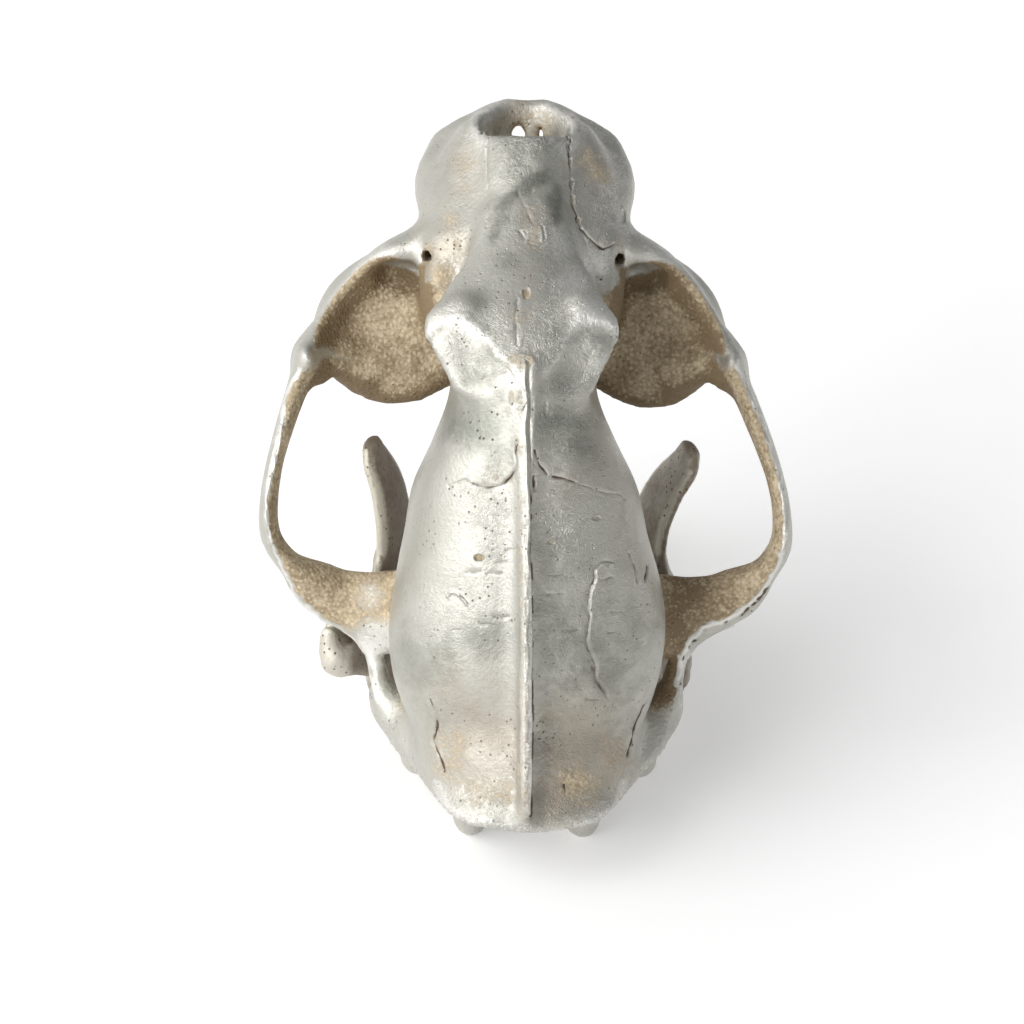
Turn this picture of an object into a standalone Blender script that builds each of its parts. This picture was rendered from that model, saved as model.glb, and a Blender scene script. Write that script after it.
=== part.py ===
"""Leopard skull with its jaws wide open, standing on its two occipital condyles and its chin.

The bones are shaped in the skull's own frame, in millimetres: x to the animal's right, y towards the
snout, z towards the top of the head. y is 0 at the jaw joint and z is 0 at the gum line of the upper
teeth. One empty tips the whole skull back and stands it on the floor, in metres.
"""
import math

import bmesh
import bpy
import numpy as np
from mathutils import Vector

MM = 0.001

# A distance that stands for no clay near, and a number too small to matter.
FAR = 30.0
TINY = 1e-9

# How far two pieces of clay melt into each other at most.
WIDEST_BLEND = 7.0

# The whole skull. Its greatest length is about 212 mm and its cheeks are about 155 mm apart.
SNOUT_Y = 148.5
CREST_TOP = 78.5
ARCH_HALF_WIDTH = 77.5
GAP = 0.3

# How it stands. The floor cuts a small flat on each point that it rests on.
GAPE_DEG = 69.0
PITCH_DEG = 62.1
JOINT_HEIGHT = 11.0
FLOOR_LEVEL = -52.0
LOWER_GUM = -14.5

# Each half of the lower jaw: how far out and how high its rear corner is, how high the strut on
# that corner reaches, and how far out the jaw's upright blade is, from its root to its tip.
RIGHT_CORNER = (46.0, -23.5, 5.0)
RIGHT_BLADE = (36.0, 37.3, 42.0, 47.8, 49.4)
LEFT_CORNER = (58.0, -20.5, 18.0)
LEFT_BLADE = (40.0, 39.5, 41.0, 43.8, 44.8)

# How finely the clay is worked, and how many triangles each bone keeps.
CELL = 1.5
CRANIUM_TRIANGLES = 4300
MANDIBLE_TRIANGLES = 760

BONE_COLOUR = (0.62, 0.61, 0.57, 1.0)
JAW_COLOUR = (0.55, 0.50, 0.43, 1.0)
TOOTH_COLOUR = (0.80, 0.76, 0.66, 1.0)


def clear_scene():
    for item in list(bpy.data.objects):
        bpy.data.objects.remove(item, do_unlink=True)


def material(name, colour, roughness, metallic):
    made = bpy.data.materials.new(name)
    made.use_nodes = True
    shader = made.node_tree.nodes["Principled BSDF"]
    shader.inputs["Base Color"].default_value = colour
    shader.inputs["Roughness"].default_value = roughness
    shader.inputs["Metallic"].default_value = metallic
    return made


def smooth_between(places, values, at):
    """Reads values, known at rising places, along one smooth curve through them."""
    places = np.asarray(places, float)
    values = np.asarray(values, float)
    slopes = np.gradient(values, places)
    at = np.clip(at, places[0], places[-1])
    left = np.clip(np.searchsorted(places, at) - 1, 0, len(places) - 2)
    span = places[left + 1] - places[left]
    t = (at - places[left]) / span
    start = values[left] * (2 * t**3 - 3 * t**2 + 1) + slopes[left] * span * (t**3 - 2 * t**2 + t)
    end = values[left + 1] * (3 * t**2 - 2 * t**3) + slopes[left + 1] * span * (t**3 - t**2)
    return start + end


def ellipsoid(centre, radii):
    """An egg of clay: its box, and its distance at any point."""
    def distance(x, y, z):
        u = (x - centre[0]) / radii[0]
        v = (y - centre[1]) / radii[1]
        w = (z - centre[2]) / radii[2]
        near = np.sqrt(u * u + v * v + w * w) + TINY
        steep = np.sqrt((u / radii[0])**2 + (v / radii[1])**2 + (w / radii[2])**2) + TINY
        return near * (near - 1) / steep
    low = [c - r for c, r in zip(centre, radii)]
    high = [c + r for c, r in zip(centre, radii)]
    return low, high, distance


def hull(stations):
    """A long body along y. Each station is y, half width, bottom, top, squareness and lean."""
    rows = sorted(stations)
    places = [row[0] for row in rows]
    columns = [[row[k] for row in rows] for k in range(1, 6)]

    def distance(x, y, z):
        width, bottom, top, power, lean = (smooth_between(places, c, y) for c in columns)
        middle = (bottom + top) / 2
        height = (top - bottom) / 2
        level = (z - middle) / height
        width = width * (1 - lean * np.clip(level, -1, 1))
        u = np.abs(x) / width
        w = np.abs(level)
        ring = (u**power + w**power + TINY)**(1 / power)
        slope = np.sqrt((u**(power - 1) / width)**2 + (w**(power - 1) / height)**2) * ring**(1 - power)
        beside = (ring - 1) / np.maximum(slope, 1 / np.maximum(width, height))
        beyond = np.maximum(y - places[-1], places[0] - y)
        return np.maximum(beside, beyond)
    wide = max(columns[0]) * 1.4
    low = (-wide, places[0], min(columns[1]))
    high = (wide, places[-1], max(columns[2]))
    return low, high, distance


def limb(stations, broad=(0, 0, 1), pieces=3):
    """A limb swept smoothly through stations of x, y, z, half breadth and half thickness.

    The breadth lies along the direction called broad, and the thickness across it.
    """
    stations = np.asarray(stations, float)
    knots = np.arange(len(stations))
    fine = np.linspace(0, len(stations) - 1, (len(stations) - 1) * pieces + 1)
    path = np.stack([smooth_between(knots, column, fine) for column in stations.T], axis=1)
    reach = path[:, 3:].max(axis=1)
    low = (path[:, :3] - reach[:, None]).min(axis=0)
    high = (path[:, :3] + reach[:, None]).max(axis=0)

    def stretch(start, end, x, y, z):
        run = end[:3] - start[:3]
        length = np.linalg.norm(run)
        along = run / length
        up = np.asarray(broad, float)
        up = up - along * up.dot(along)
        up = up / np.linalg.norm(up)
        side = np.cross(along, up)
        px, py, pz = x - start[0], y - start[1], z - start[2]
        share = np.clip((px * along[0] + py * along[1] + pz * along[2]) / length, 0, 1)
        px, py, pz = px - share * run[0], py - share * run[1], pz - share * run[2]
        breadth = start[3] + share * (end[3] - start[3])
        depth = start[4] + share * (end[4] - start[4])
        u = (px * up[0] + py * up[1] + pz * up[2]) / breadth
        v = (px * side[0] + py * side[1] + pz * side[2]) / depth
        w = (px * along[0] + py * along[1] + pz * along[2]) / depth
        near = np.sqrt(u * u + v * v + w * w) + TINY
        steep = np.sqrt((u / breadth)**2 + (v / depth)**2 + (w / depth)**2) + TINY
        return near * (near - 1) / steep

    def distance(x, y, z):
        nearest = np.full(np.broadcast_shapes(x.shape, y.shape, z.shape), FAR)
        for start, end in zip(path, path[1:]):
            room = max(start[3], start[4], end[3], end[4]) + WIDEST_BLEND
            cut = []
            for k, axis in enumerate((x, y, z)):
                line = axis.ravel()
                bottom = min(start[k], end[k]) - room
                top = max(start[k], end[k]) + room
                cut.append(slice(np.searchsorted(line, bottom), np.searchsorted(line, top)))
            near = stretch(start, end, x[cut[0]], y[:, cut[1]], z[:, :, cut[2]])
            nearest[tuple(cut)] = np.minimum(nearest[tuple(cut)], near)
        return nearest
    return low, high, distance


class Clay:
    """One half of a bone as a block of points that hold their distance to its surface."""

    def __init__(self, low, high, cell):
        self.cell = cell
        self.axes = [np.arange(a, b + cell, cell) for a, b in zip(low, high)]
        self.field = np.full([len(axis) for axis in self.axes], FAR)

    def window(self, low, high, room):
        cut = []
        for axis, bottom, top in zip(self.axes, low, high):
            cut.append(slice(np.searchsorted(axis, bottom - room), np.searchsorted(axis, top + room)))
        parts = [axis[part] for axis, part in zip(self.axes, cut)]
        return tuple(cut), np.meshgrid(*parts, indexing="ij", sparse=True)

    def add(self, form, blend=3.0):
        low, high, distance = form
        cut, points = self.window(low, high, blend + 2)
        old = self.field[cut]
        new = distance(*points)
        near = np.maximum(blend - np.abs(old - new), 0) / blend
        self.field[cut] = np.minimum(old, new) - near * near * blend / 4

    def carve(self, form, blend=2.0):
        low, high, distance = form
        cut, points = self.window(low, high, blend + 2)
        old = self.field[cut]
        new = -distance(*points)
        near = np.maximum(blend - np.abs(old - new), 0) / blend
        self.field[cut] = np.maximum(old, new) + near * near * blend / 4

    def mirrored(self):
        """The whole bone, from the half where x is 0 or more."""
        self.field = np.concatenate((self.field[:0:-1], self.field))
        self.axes[0] = np.concatenate((-self.axes[0][:0:-1], self.axes[0]))
        return self


def skin(clay):
    """Skins the clay with four-sided faces: one point in each cell that its surface crosses."""
    field = clay.field
    cells = np.array(field.shape) - 1
    steps = np.array((cells[1] * cells[2], cells[2], 1))
    total = np.zeros((cells.prod(), 3))
    count = np.zeros(cells.prod())
    faces = []
    for axis in range(3):
        first = [slice(None)] * 3
        second = [slice(None)] * 3
        first[axis] = slice(0, -1)
        second[axis] = slice(1, None)
        here, there = field[tuple(first)], field[tuple(second)]
        crossed = (here < 0) != (there < 0)
        spot = np.argwhere(crossed)
        inside = here[crossed]
        point = spot.astype(float)
        point[:, axis] += inside / (inside - there[crossed])
        u, v = (axis + 1) % 3, (axis + 2) % 3
        corners = []
        for back_u, back_v in ((0, 0), (1, 0), (1, 1), (0, 1)):
            cell = spot.copy()
            cell[:, u] -= back_u
            cell[:, v] -= back_v
            flat = cell @ steps
            for k in range(3):
                total[:, k] += np.bincount(flat, point[:, k], len(total))
            count += np.bincount(flat, minlength=len(count))
            corners.append(flat)
        quads = np.stack(corners, axis=1)
        faces.append(np.where((inside < 0)[:, None], quads, quads[:, ::-1]))
    used = count > 0
    number = np.cumsum(used) - 1
    points = total[used] / count[used][:, None] * clay.cell
    points += np.array([axis[0] for axis in clay.axes])
    return points, number[np.concatenate(faces)]


def mesh_from(name, points, faces):
    """A mesh in metres, from points in millimetres."""
    mesh = bpy.data.meshes.new(name)
    mesh.from_pydata((np.asarray(points) * MM).tolist(), [], np.asarray(faces).tolist())
    mesh.update()
    return mesh


def node(name, mesh, finish, stand):
    made = bpy.data.objects.new(name, mesh)
    bpy.context.scene.collection.objects.link(made)
    made.data.materials.append(finish)
    made.parent = stand
    return made


def shape_snout(clay):
    """Premaxilla, maxilla and palate, with the roots of the canines standing out at the sides."""
    clay.add(limb([(21, 131, 5, 8.8, 8.8), (24, 123, 13, 8.8, 8.8),
                   (23.6, 112, 24, 6.8, 6.8), (21, 102, 36, 5, 5)]), 6)
    clay.add(limb([(7, 142, 5, 5, 5), (20, 134, 5, 5, 6), (23, 112, 5, 5, 6), (28.5, 98, 6, 6, 6),
                   (34, 86, 6.5, 6.5, 6), (38, 74, 8, 6, 5.5)]), 5)
    clay.add(ellipsoid((0, 82, 9), (31, 24, 4.5)), 4)
    clay.carve(ellipsoid((0, 101, -3), (15.5, 40, 9)), 4)


def shape_forehead(clay):
    """The broad frontal bones: a shield that ends in the brows and the processes behind them."""
    clay.add(limb([(0, 110, 47, 12, 4.5), (0, 100, 52.5, 15.5, 5), (0, 92, 57.5, 20, 5.5),
                   (0, 84, 63, 25, 5.5), (0, 77, 67.5, 27.5, 5.5), (0, 70, 70, 25, 6),
                   (0, 62, 70.5, 21, 6)], broad=(1, 0, 0)), 5)
    clay.add(limb([(20, 80, 69, 4, 7), (26, 78.5, 67, 3.5, 4.5), (30.5, 75.5, 62.5, 2.4, 2.6)]), 4)


def shape_orbit(clay):
    """The cheek root and the floor of the eye socket, and the holes for nerve and tears."""
    clay.add(ellipsoid((38, 79.4, 12), (23, 22.3, 9)), 5)
    clay.add(limb([(46, 70, 17, 8, 6), (56, 72.5, 21, 7.5, 6), (61, 69, 24, 7, 5)], broad=(0, 1, 0)), 5)
    clay.carve(ellipsoid((41.5, 80.5, 46), (20.5, 20.5, 27)), 4)
    clay.carve(limb([(32, 103, 20, 5, 3.6), (36, 92, 21, 5, 3.6), (40, 82, 24, 6, 4)]), 1.5)
    clay.carve(limb([(31, 96, 42, 2.2, 2.2), (24, 99, 38, 2.2, 2.2)]), 1.0)


def shape_arch(clay):
    """The zygomatic arch: a thin upright blade from the cheek to the jaw joint."""
    clay.add(limb([(30, 104, 20, 14, 6), (40, 98.5, 21, 13.5, 5.5), (49.6, 89.6, 21.5, 12.5, 4.5),
                   (57.8, 77.7, 22.5, 12, 3.8), (63.2, 67, 25, 11.5, 3.4), (68, 55, 28, 9, 3.1),
                   (72.6, 41, 30, 8.5, 2.9), (75.2, 28, 29.5, 8.5, 2.9), (75, 17, 26.5, 8.5, 3.4),
                   (69.4, 8.5, 22.5, 8, 4), (61.5, 4, 19, 6.5, 5)]), 5)
    clay.add(limb([(63.5, 69, 33, 5, 2.8), (61.5, 71, 40.5, 3, 2.0)], broad=(0, 1, 0)), 3)


def shape_joint(clay):
    """The shelf that carries the jaw joint, its hollow, and the ledge that runs back over the ear."""
    clay.add(limb([(34, -5, 22, 14, 7), (46, -3, 18, 10.5, 6), (58, 0.5, 17.5, 7.5, 5.5),
                   (69, 4, 20, 6, 5)], broad=(0, 1, 0)), 5)
    clay.add(limb([(65, -0.5, 17, 3, 2.5), (59, -4, 16.5, 3, 2.5), (50, -9.5, 16.5, 3.2, 2.6),
                   (44.5, -19, 16, 3.4, 2.8), (43, -28, 15, 4, 3.2)]), 4)
    clay.add(limb([(45, -7.5, 7.5, 5, 2.6), (52, -8, 8, 4.5, 2.6), (60, -6, 11, 3, 2.4)]), 3)
    clay.carve(limb([(41, 0, JOINT_HEIGHT, 6, 6), (66, 0, JOINT_HEIGHT, 6, 6)]), 1.0)
    clay.carve(limb([(43, -1, 5, 5, 7), (66, -1, 5, 5, 7)]), 1.0)


def shape_crests(clay):
    """The ridge along the top of the head and the rim round the back of it."""
    clay.add(limb([(0, 66, 74.5, 3, 2.2), (0, 48, CREST_TOP - 3.5, 3.5, 2.2),
                   (0, 25, CREST_TOP - 4.5, 4.5, 2.2), (0, 0, CREST_TOP - 7, 5.5, 2.2),
                   (0, -28, CREST_TOP - 11, 6, 2.2), (0, -48, CREST_TOP - 16, 6.5, 2.4),
                   (0, -62, CREST_TOP - 21.5, 5, 2.6)]), 4)
    clay.add(limb([(0, -58.5, 57, 8, 3), (10, -58, 55.5, 8, 2.8), (17.4, -56, 51, 8, 2.6),
                   (22, -51.5, 44, 8, 2.6), (26.4, -46.5, 36, 8, 2.6), (32, -41, 28, 8, 2.6),
                   (37.7, -36, 19, 7, 2.8), (40.6, -31, 12, 5, 3)], broad=(0.4, -0.9, 0.2)), 5)
    clay.add(limb([(28, 76, 66, 2, 2), (21, 74, 72.5, 2, 2), (12, 71, 75.5, 2, 2), (3, 65, 76, 2, 2)]), 3)


def shape_underside(clay):
    """Skull base: condyles, ear capsules, mastoids, paroccipital and pterygoid processes."""
    clay.add(limb([(0, 44, 15, 9, 5), (0, 15, 14.5, 10, 5), (0, -20, 14.5, 12, 5), (0, -50, 17, 13, 5)],
                  broad=(1, 0, 0)), 4)
    clay.add(ellipsoid((21, -22, 11.5), (11.5, 16.5, 12)), 3)
    clay.add(ellipsoid((40.5, -32.6, 12), (5.3, 6.2, 8)), 4)
    clay.add(limb([(32, -41, 22, 8, 5), (33.8, -47, 10, 5.5, 4.5), (32.6, -50, 3, 3.8, 3.4)],
                  broad=(0, 1, 0)), 4)
    clay.add(ellipsoid((0, -45, 37), (30, 15.5, 22)), 6)
    clay.add(limb([(16.8, -60, 30, 6, 5.2), (16.5, -62.5, 21, 8, 5.2), (12, -58, 15, 5, 5)],
                  broad=(0, 1, 0)), 3)
    clay.carve(ellipsoid((0, -66, 27.5), (12.5, 34, 9.5)), 2)
    clay.carve(limb([(44, -17, 12, 4, 4), (30, -18, 13, 3.4, 3.4)]), 1.5)
    clay.add(limb([(14, 66, 9, 6, 2.2), (12.5, 48, 10, 7, 1.9), (11.5, 34, 8.5, 6, 1.8),
                   (11, 27, 5, 2.6, 1.6)]), 3)


def shape_nose(clay):
    """The open nose: wide at the front, running back under the nasal bones."""
    clay.carve(limb([(0, 152, 33, 12, 14), (0, 141, 29, 11.5, 13.5), (0, 128, 28, 11, 12.5),
                     (0, 112, 28, 10, 9), (0, 96, 29, 6, 6)]), 2)
    clay.carve(limb([(0, 152, 18, 9, 9.5), (0, 141, 17.5, 8, 9), (0, 128, 19, 8, 8.5),
                     (0, 112, 22, 6, 7)]), 3)
    clay.carve(ellipsoid((3.9, 134, 5), (2.6, 5.5, 8)), 1)
    clay.carve(limb([(0, 70, 5, 5, 11), (0, 54, 7, 5.5, 9.5), (0, 38, 7, 4, 9)]), 2)


CRANIUM_HULL = [
    (148.5, 6.5, 1, 8, 2.2, 0.0), (147, 10.5, 0, 12, 2.4, 0.0), (144, 14.8, 0, 20, 2.6, 0.1),
    (139.5, 18, 0, 35, 2.8, 0.25), (135.5, 18.5, 1, 40.5, 2.8, 0.32), (130, 18.5, 1, 43, 2.8, 0.34),
    (120, 19, 1, 47.5, 2.8, 0.34),
    (110, 20, 1, 52.5, 2.8, 0.32), (102, 20, 3, 57.5, 2.7, 0.25), (94, 18.5, 5, 63, 2.6, 0.05),
    (85, 17.5, 8, 68.5, 2.5, -0.15), (76, 18.5, 10, 73, 2.4, -0.2), (66, 20, 12, 75.5, 2.4, -0.1),
    (57, 22.2, 13, 76.5, 2.4, 0.0), (46, 26.8, 13, 76, 2.4, 0.05), (34, 32.2, 12, 75, 2.4, 0.08),
    (20, 35, 11, 73.5, 2.4, 0.1), (5, 38.5, 11, 71.5, 2.3, 0.1), (-8, 40, 11, 69, 2.3, 0.1),
    (-20, 39, 11, 66, 2.3, 0.1), (-34, 34.5, 12, 61.5, 2.2, 0.1), (-46, 29, 13, 57, 2.2, 0.1),
    (-56, 20, 16, 52, 2.2, 0.0), (-61, 13, 20, 47, 2.1, 0.0)]


def cranium_clay(cell):
    clay = Clay((0, -75, -6), (ARCH_HALF_WIDTH + 5, SNOUT_Y + 5, CREST_TOP + 6), cell)
    clay.add(hull(CRANIUM_HULL), 1)
    shape_snout(clay)
    shape_forehead(clay)
    shape_arch(clay)
    shape_orbit(clay)
    shape_joint(clay)
    shape_crests(clay)
    shape_underside(clay)
    shape_nose(clay)
    return clay.mirrored()


# Where the two sides differ: a place along y, how far that spreads, and the shift to the right.
UNEVEN = [(75, 34, -1.8), (2, 12, 0.7), (-52, 13, 0.9)]
SKEW = 0.015


def unevened(points):
    """No skull is quite even: the left cheek stands out, and the right side lies further back."""
    for place, spread, shift in UNEVEN:
        share = np.exp(-((points[:, 1] - place) / spread)**2)
        points[:, 0] += shift * share * np.clip(np.abs(points[:, 0]) / 40, 0, 1)
    points[:, 1] -= SKEW * points[:, 0]
    return points


def jaw_to_skull(points, side):
    """Turns a jaw half, shaped closed with its joint at 0, open by the gape and onto its side."""
    gape = math.radians(GAPE_DEG)
    x, forward, up = points.T
    y = forward * math.cos(gape) + up * math.sin(gape)
    z = JOINT_HEIGHT - forward * math.sin(gape) + up * math.cos(gape)
    return unevened(np.stack((side * x, y, z), axis=1))


def mandible_clay(cell, corner, blade):
    """The right half of the lower jaw, closed, with its joint at 0."""
    clay = Clay((-4, -32, -50), (72, 148, 52), cell)
    leaf = (-0.25, 1, 0)
    clay.add(limb([(43.5, 16, -24, 17, 4.5), (43, 18.5, -8, 13.5, 3.8), (blade[0] + 1, 18, 8, 13.5, 3.0)],
                  broad=leaf), 2)
    clay.add(limb([(blade[0], 16.5, 2, 12, 3.2), (blade[1], 16, 17, 11.5, 2.8), (blade[2], 15, 29, 10, 2.7),
                   (blade[3], 12.5, 38, 7.5, 2.6), (blade[4], 11.5, 43, 5, 2.5)],
                  broad=(-0.4, 1, 0)), 3)
    clay.add(limb([(43.5, 16, -27, 14.5, 5.5), (36, 45, -28, 13.5, 6), (27, 75, -28.5, 13.5, 6.5),
                   (19.5, 100, -29.5, 14, 7), (11.5, 118, -30, 14.5, 8), (7, 129, -26, 11, 7),
                   (6, 134, -22, 7, 6)]), 3)
    clay.add(limb([(45, 0.5, -0.5, 5, 5), (54, 0, 0, 5.2, 5.2), (61, -0.5, -0.5, 4.6, 4.6)],), 2)
    clay.add(limb([(45, 9, -5, 5.5, 4), (46, 4, -1.5, 4.5, 4)], broad=leaf), 3)
    out, low, strut = corner
    clay.add(limb([(45, 8, low - 2, 7, 4.5), ((44 + out) / 2, 0, low, 5, 4),
                   (out - 1, -3, low + 1, 4.8, 4.2), (out + 1, 3, low + strut / 2, 4, 3.4),
                   (out + 1, 3, low + strut, 3.2, 2.8)]), 3)
    clay.carve(ellipsoid((57, 18, -6), (11, 18, 16)), 3)
    return clay


# Cutting edges of the teeth: how far along the crown, from its back to its front, and how high.
EDGE = [(-1, 0.8), (-0.5, 1), (0.5, 1), (1, 0.85)]
PEG = [(-1, 0.5), (-0.4, 0.9), (0.4, 1), (1, 0.5)]
CONE = [(-1, 1), (-0.7, 1), (0, 1), (0.7, 1), (1, 1)]
PREMOLAR = [(-1, 0.25), (-0.75, 0.5), (-0.45, 0.45), (0, 1), (0.4, 0.6), (0.75, 0.4), (1, 0.2)]
SHEAR = [(-1, 0.3), (-0.8, 0.75), (-0.4, 0.7), (-0.15, 0.45), (0.2, 1), (0.65, 0.5), (1, 0.25)]
NOTCHED = [(-1, 0.2), (-0.85, 0.35), (-0.45, 1), (0, 0.5), (0.5, 0.95), (0.8, 0.7), (1, 0.3)]

# Each tooth: name, place on the gum line, heading, half length, half width, crown, root and edge.
UPPER_TEETH = [
    ("incisor_1", (2.6, 145.4), 0, 1.95, 2.3, 7, 6, EDGE),
    ("incisor_2", (7.6, 144.5), -12, 2.15, 2.5, 8, 6, EDGE),
    ("incisor_3", (13.2, 141.4), -40, 2.8, 3.3, 11.5, 8, PEG),
    ("canine", (21.3, 130.8), 100, 7.4, 5.8, 36, 15, CONE),
    ("premolar_2", (23.8, 112.6), 105, 2.6, 2.2, 4, 4, PEG),
    ("premolar_3", (27.6, 100.8), 108, 7.8, 4.1, 11, 6, PREMOLAR),
    ("carnassial", (35.2, 80.2), 106, 12.0, 4.9, 14, 7, SHEAR),
    ("molar", (33.2, 65.4), 10, 3.4, 2.2, 3.5, 3.5, PEG)]
LOWER_TEETH = [
    ("incisor_1", (2.4, 136.2), 0, 1.6, 2.0, 5, 5, EDGE),
    ("incisor_2", (5.8, 135.7), -10, 1.7, 2.1, 5.5, 5, EDGE),
    ("incisor_3", (9.3, 134), -35, 2.0, 2.3, 6, 5, EDGE),
    ("canine", (13.2, 124.5), 100, 6.4, 5.1, 30, 13, CONE),
    ("premolar_3", (20.2, 99.5), 106, 6.4, 3.2, 8.5, 6, PREMOLAR),
    ("premolar_4", (24.8, 83.5), 106, 8.7, 4.0, 12, 7, PREMOLAR),
    ("carnassial", (30.2, 64.2), 107, 9.7, 4.2, 12, 7, NOTCHED)]
CANINE_CURVE = 0.0052


def crown_rings(half_length, half_width, crown, root, edge, grow):
    """Rings of a tooth, from the root's end to the cutting edge, as along, across and up."""
    share = np.array([place for place, _ in edge])
    peak = np.array([height for _, height in edge])
    bulge = np.sqrt(np.maximum(1 - share**2, 0))
    levels = [(-root - grow, 0.6, 0.6, 0), (0.2, 1, 1, 0), (0.6, 0.9, 0.62, 1), (1, 0.86, 0.14, 1)]
    if edge is CONE:
        levels = [(-root - grow, 0.6, 0.6, 0), (0.03, 1, 1, 0), (0.35, 0.88, 0.88, 1),
                  (0.72, 0.56, 0.56, 1), (1, 0.1, 0.1, 1)]
    rings = []
    for height, long, wide, follows in levels:
        shape = peak if follows else np.ones_like(peak)
        rise = height * shape * (crown if height > 0 else 1)
        if height == 1:
            rise = rise + grow
        bend = -CANINE_CURVE * np.maximum(rise, 0)**2 if edge is CONE else 0
        along = share * (half_length * long + grow) + bend
        across = bulge * (half_width * wide + grow)
        front = np.stack((along, across, rise), axis=1)[::-1]
        back = np.stack((along, -across, rise), axis=1)[1:-1]
        rings.append(np.concatenate((front, back)))
    return rings


def ring_faces(rings, across):
    """Closes a stack of rings, whose last ring is folded shut along its middle."""
    count = len(rings[0])
    faces = []
    for level in range(len(rings) - 1):
        low = level * count
        for k in range(count):
            after = (k + 1) % count
            faces.append((low + k, low + after, low + count + after))
            faces.append((low + k, low + count + after, low + count + k))
    for low, turned in ((0, True), ((len(rings) - 1) * count, False)):
        cap = [(0, 1, count - 1)]
        for k in range(1, across - 2):
            cap += [(k, k + 1, count - k - 1), (k, count - k - 1, count - k)]
        cap.append((across - 2, across - 1, across))
        faces += [tuple(low + k for k in (face[::-1] if turned else face)) for face in cap]
    return np.array(faces)


def tooth(row, base, up, grow=0.0):
    """A tooth standing on its gum line in a jaw's own frame: its points and faces."""
    _, place, heading, half_length, half_width, crown, root, edge = row
    rings = crown_rings(half_length, half_width, crown, root, edge, grow)
    turn = math.radians(heading)
    along = Vector((math.cos(turn), math.sin(turn), 0))
    up = Vector(up).normalized()
    along = (along - up * along.dot(up)).normalized()
    frame = np.array((along, up.cross(along), up))
    points = np.concatenate(rings) @ frame + np.array((place[0], place[1], base))
    return points, ring_faces(rings, len(edge))


def upper_tooth(row, side, grow=0.0):
    """An upper tooth points down; the canine leans out and forwards."""
    lean = (0.10, 0.16, -1) if "canine" in row[0] else (0.02, 0.1 if "incisor" in row[0] else 0, -1)
    lift = 1.6 if row[0] == "molar" else 0.4
    points, faces = tooth(row, lift, lean, grow)
    points[:, 0] *= side
    return unevened(points), faces if side > 0 else faces[:, ::-1]


def lower_tooth(row, side, grow=0.0):
    """A lower tooth points up in the closed jaw; the canine leans out and forwards."""
    lean = (0.2, 0.3, 1) if "canine" in row[0] else (0, 0.25 if "incisor" in row[0] else 0, 1)
    points, faces = tooth(row, LOWER_GUM, lean, grow)
    return jaw_to_skull(points, side), faces if side > 0 else faces[:, ::-1]


def cutter(name, parts, stand):
    """One hidden object that holds every socket's shape."""
    points = np.concatenate([part[0] for part in parts])
    starts = np.cumsum([0] + [len(part[0]) for part in parts])
    faces = np.concatenate([part[1] + start for part, start in zip(parts, starts)])
    made = bpy.data.objects.new(name, mesh_from(name, points, faces))
    bpy.context.scene.collection.objects.link(made)
    made.parent = stand
    made.hide_render = True
    made.display_type = "WIRE"
    return made


def cut_sockets(bone, sockets):
    cut = bone.modifiers.new("sockets", "BOOLEAN")
    cut.operation = "DIFFERENCE"
    cut.solver = "EXACT"
    cut.object = sockets


def trimmed(mesh, keep_normal, through):
    """Cuts a mesh with a plane and closes the cut flat. The side that keep_normal points to stays."""
    work = bmesh.new()
    work.from_mesh(mesh)
    every = work.verts[:] + work.edges[:] + work.faces[:]
    cut = bmesh.ops.bisect_plane(work, geom=every, plane_co=through, plane_no=keep_normal,
                                 clear_inner=True, dist=1e-7)
    rim = [item for item in cut["geom_cut"] if isinstance(item, bmesh.types.BMEdge)]
    filled = bmesh.ops.holes_fill(work, edges=rim, sides=0)
    bmesh.ops.triangulate(work, faces=filled["faces"])
    work.to_mesh(mesh)
    work.free()


def floor_cut(mesh):
    """The floor, as a plane in the skull's frame, cuts the flats that the skull rests on."""
    pitch = math.radians(PITCH_DEG)
    upward = Vector((0, math.sin(pitch), math.cos(pitch)))
    trimmed(mesh, upward, upward * FLOOR_LEVEL * MM)


def thinned(mesh, triangles):
    """Evens out a dense skin and takes it down to a number of triangles."""
    holder = bpy.data.objects.new("thinning", mesh)
    bpy.context.scene.collection.objects.link(holder)
    remesh = holder.modifiers.new("even skin", "REMESH")
    remesh.mode = "VOXEL"
    remesh.voxel_size = CELL * MM
    graph = bpy.context.evaluated_depsgraph_get()
    count = sum(len(face.vertices) - 2 for face in holder.evaluated_get(graph).data.polygons)
    fewer = holder.modifiers.new("fewer faces", "DECIMATE")
    fewer.ratio = triangles / count
    graph = bpy.context.evaluated_depsgraph_get()
    done = bpy.data.meshes.new_from_object(holder.evaluated_get(graph))
    bpy.data.objects.remove(holder)
    return done


def make_cranium(stand):
    points, faces = skin(cranium_clay(CELL))
    mesh = thinned(mesh_from("cranium", unevened(points), faces), CRANIUM_TRIANGLES)
    floor_cut(mesh)
    bone = node("cranium", mesh, material("bone", BONE_COLOUR, 0.4, 0.3), stand)
    grown = [upper_tooth(row, side, GAP) for row in UPPER_TEETH for side in (1, -1)]
    cut_sockets(bone, cutter("upper_sockets", grown, stand))


def make_mandible(name, side, corner, blade, stand):
    points, faces = skin(mandible_clay(CELL, corner, blade))
    if side < 0:
        faces = faces[:, ::-1]
    mesh = thinned(mesh_from(name, jaw_to_skull(points, side), faces), MANDIBLE_TRIANGLES)
    trimmed(mesh, Vector((side, 0, 0)), Vector((side * GAP / 2 * MM, 0, 0)))
    floor_cut(mesh)
    bone = node(name, mesh, material(name + "_bone", JAW_COLOUR, 0.45, 0.2), stand)
    grown = [lower_tooth(row, side, GAP) for row in LOWER_TEETH]
    cut_sockets(bone, cutter(name + "_sockets", grown, stand))


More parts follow.
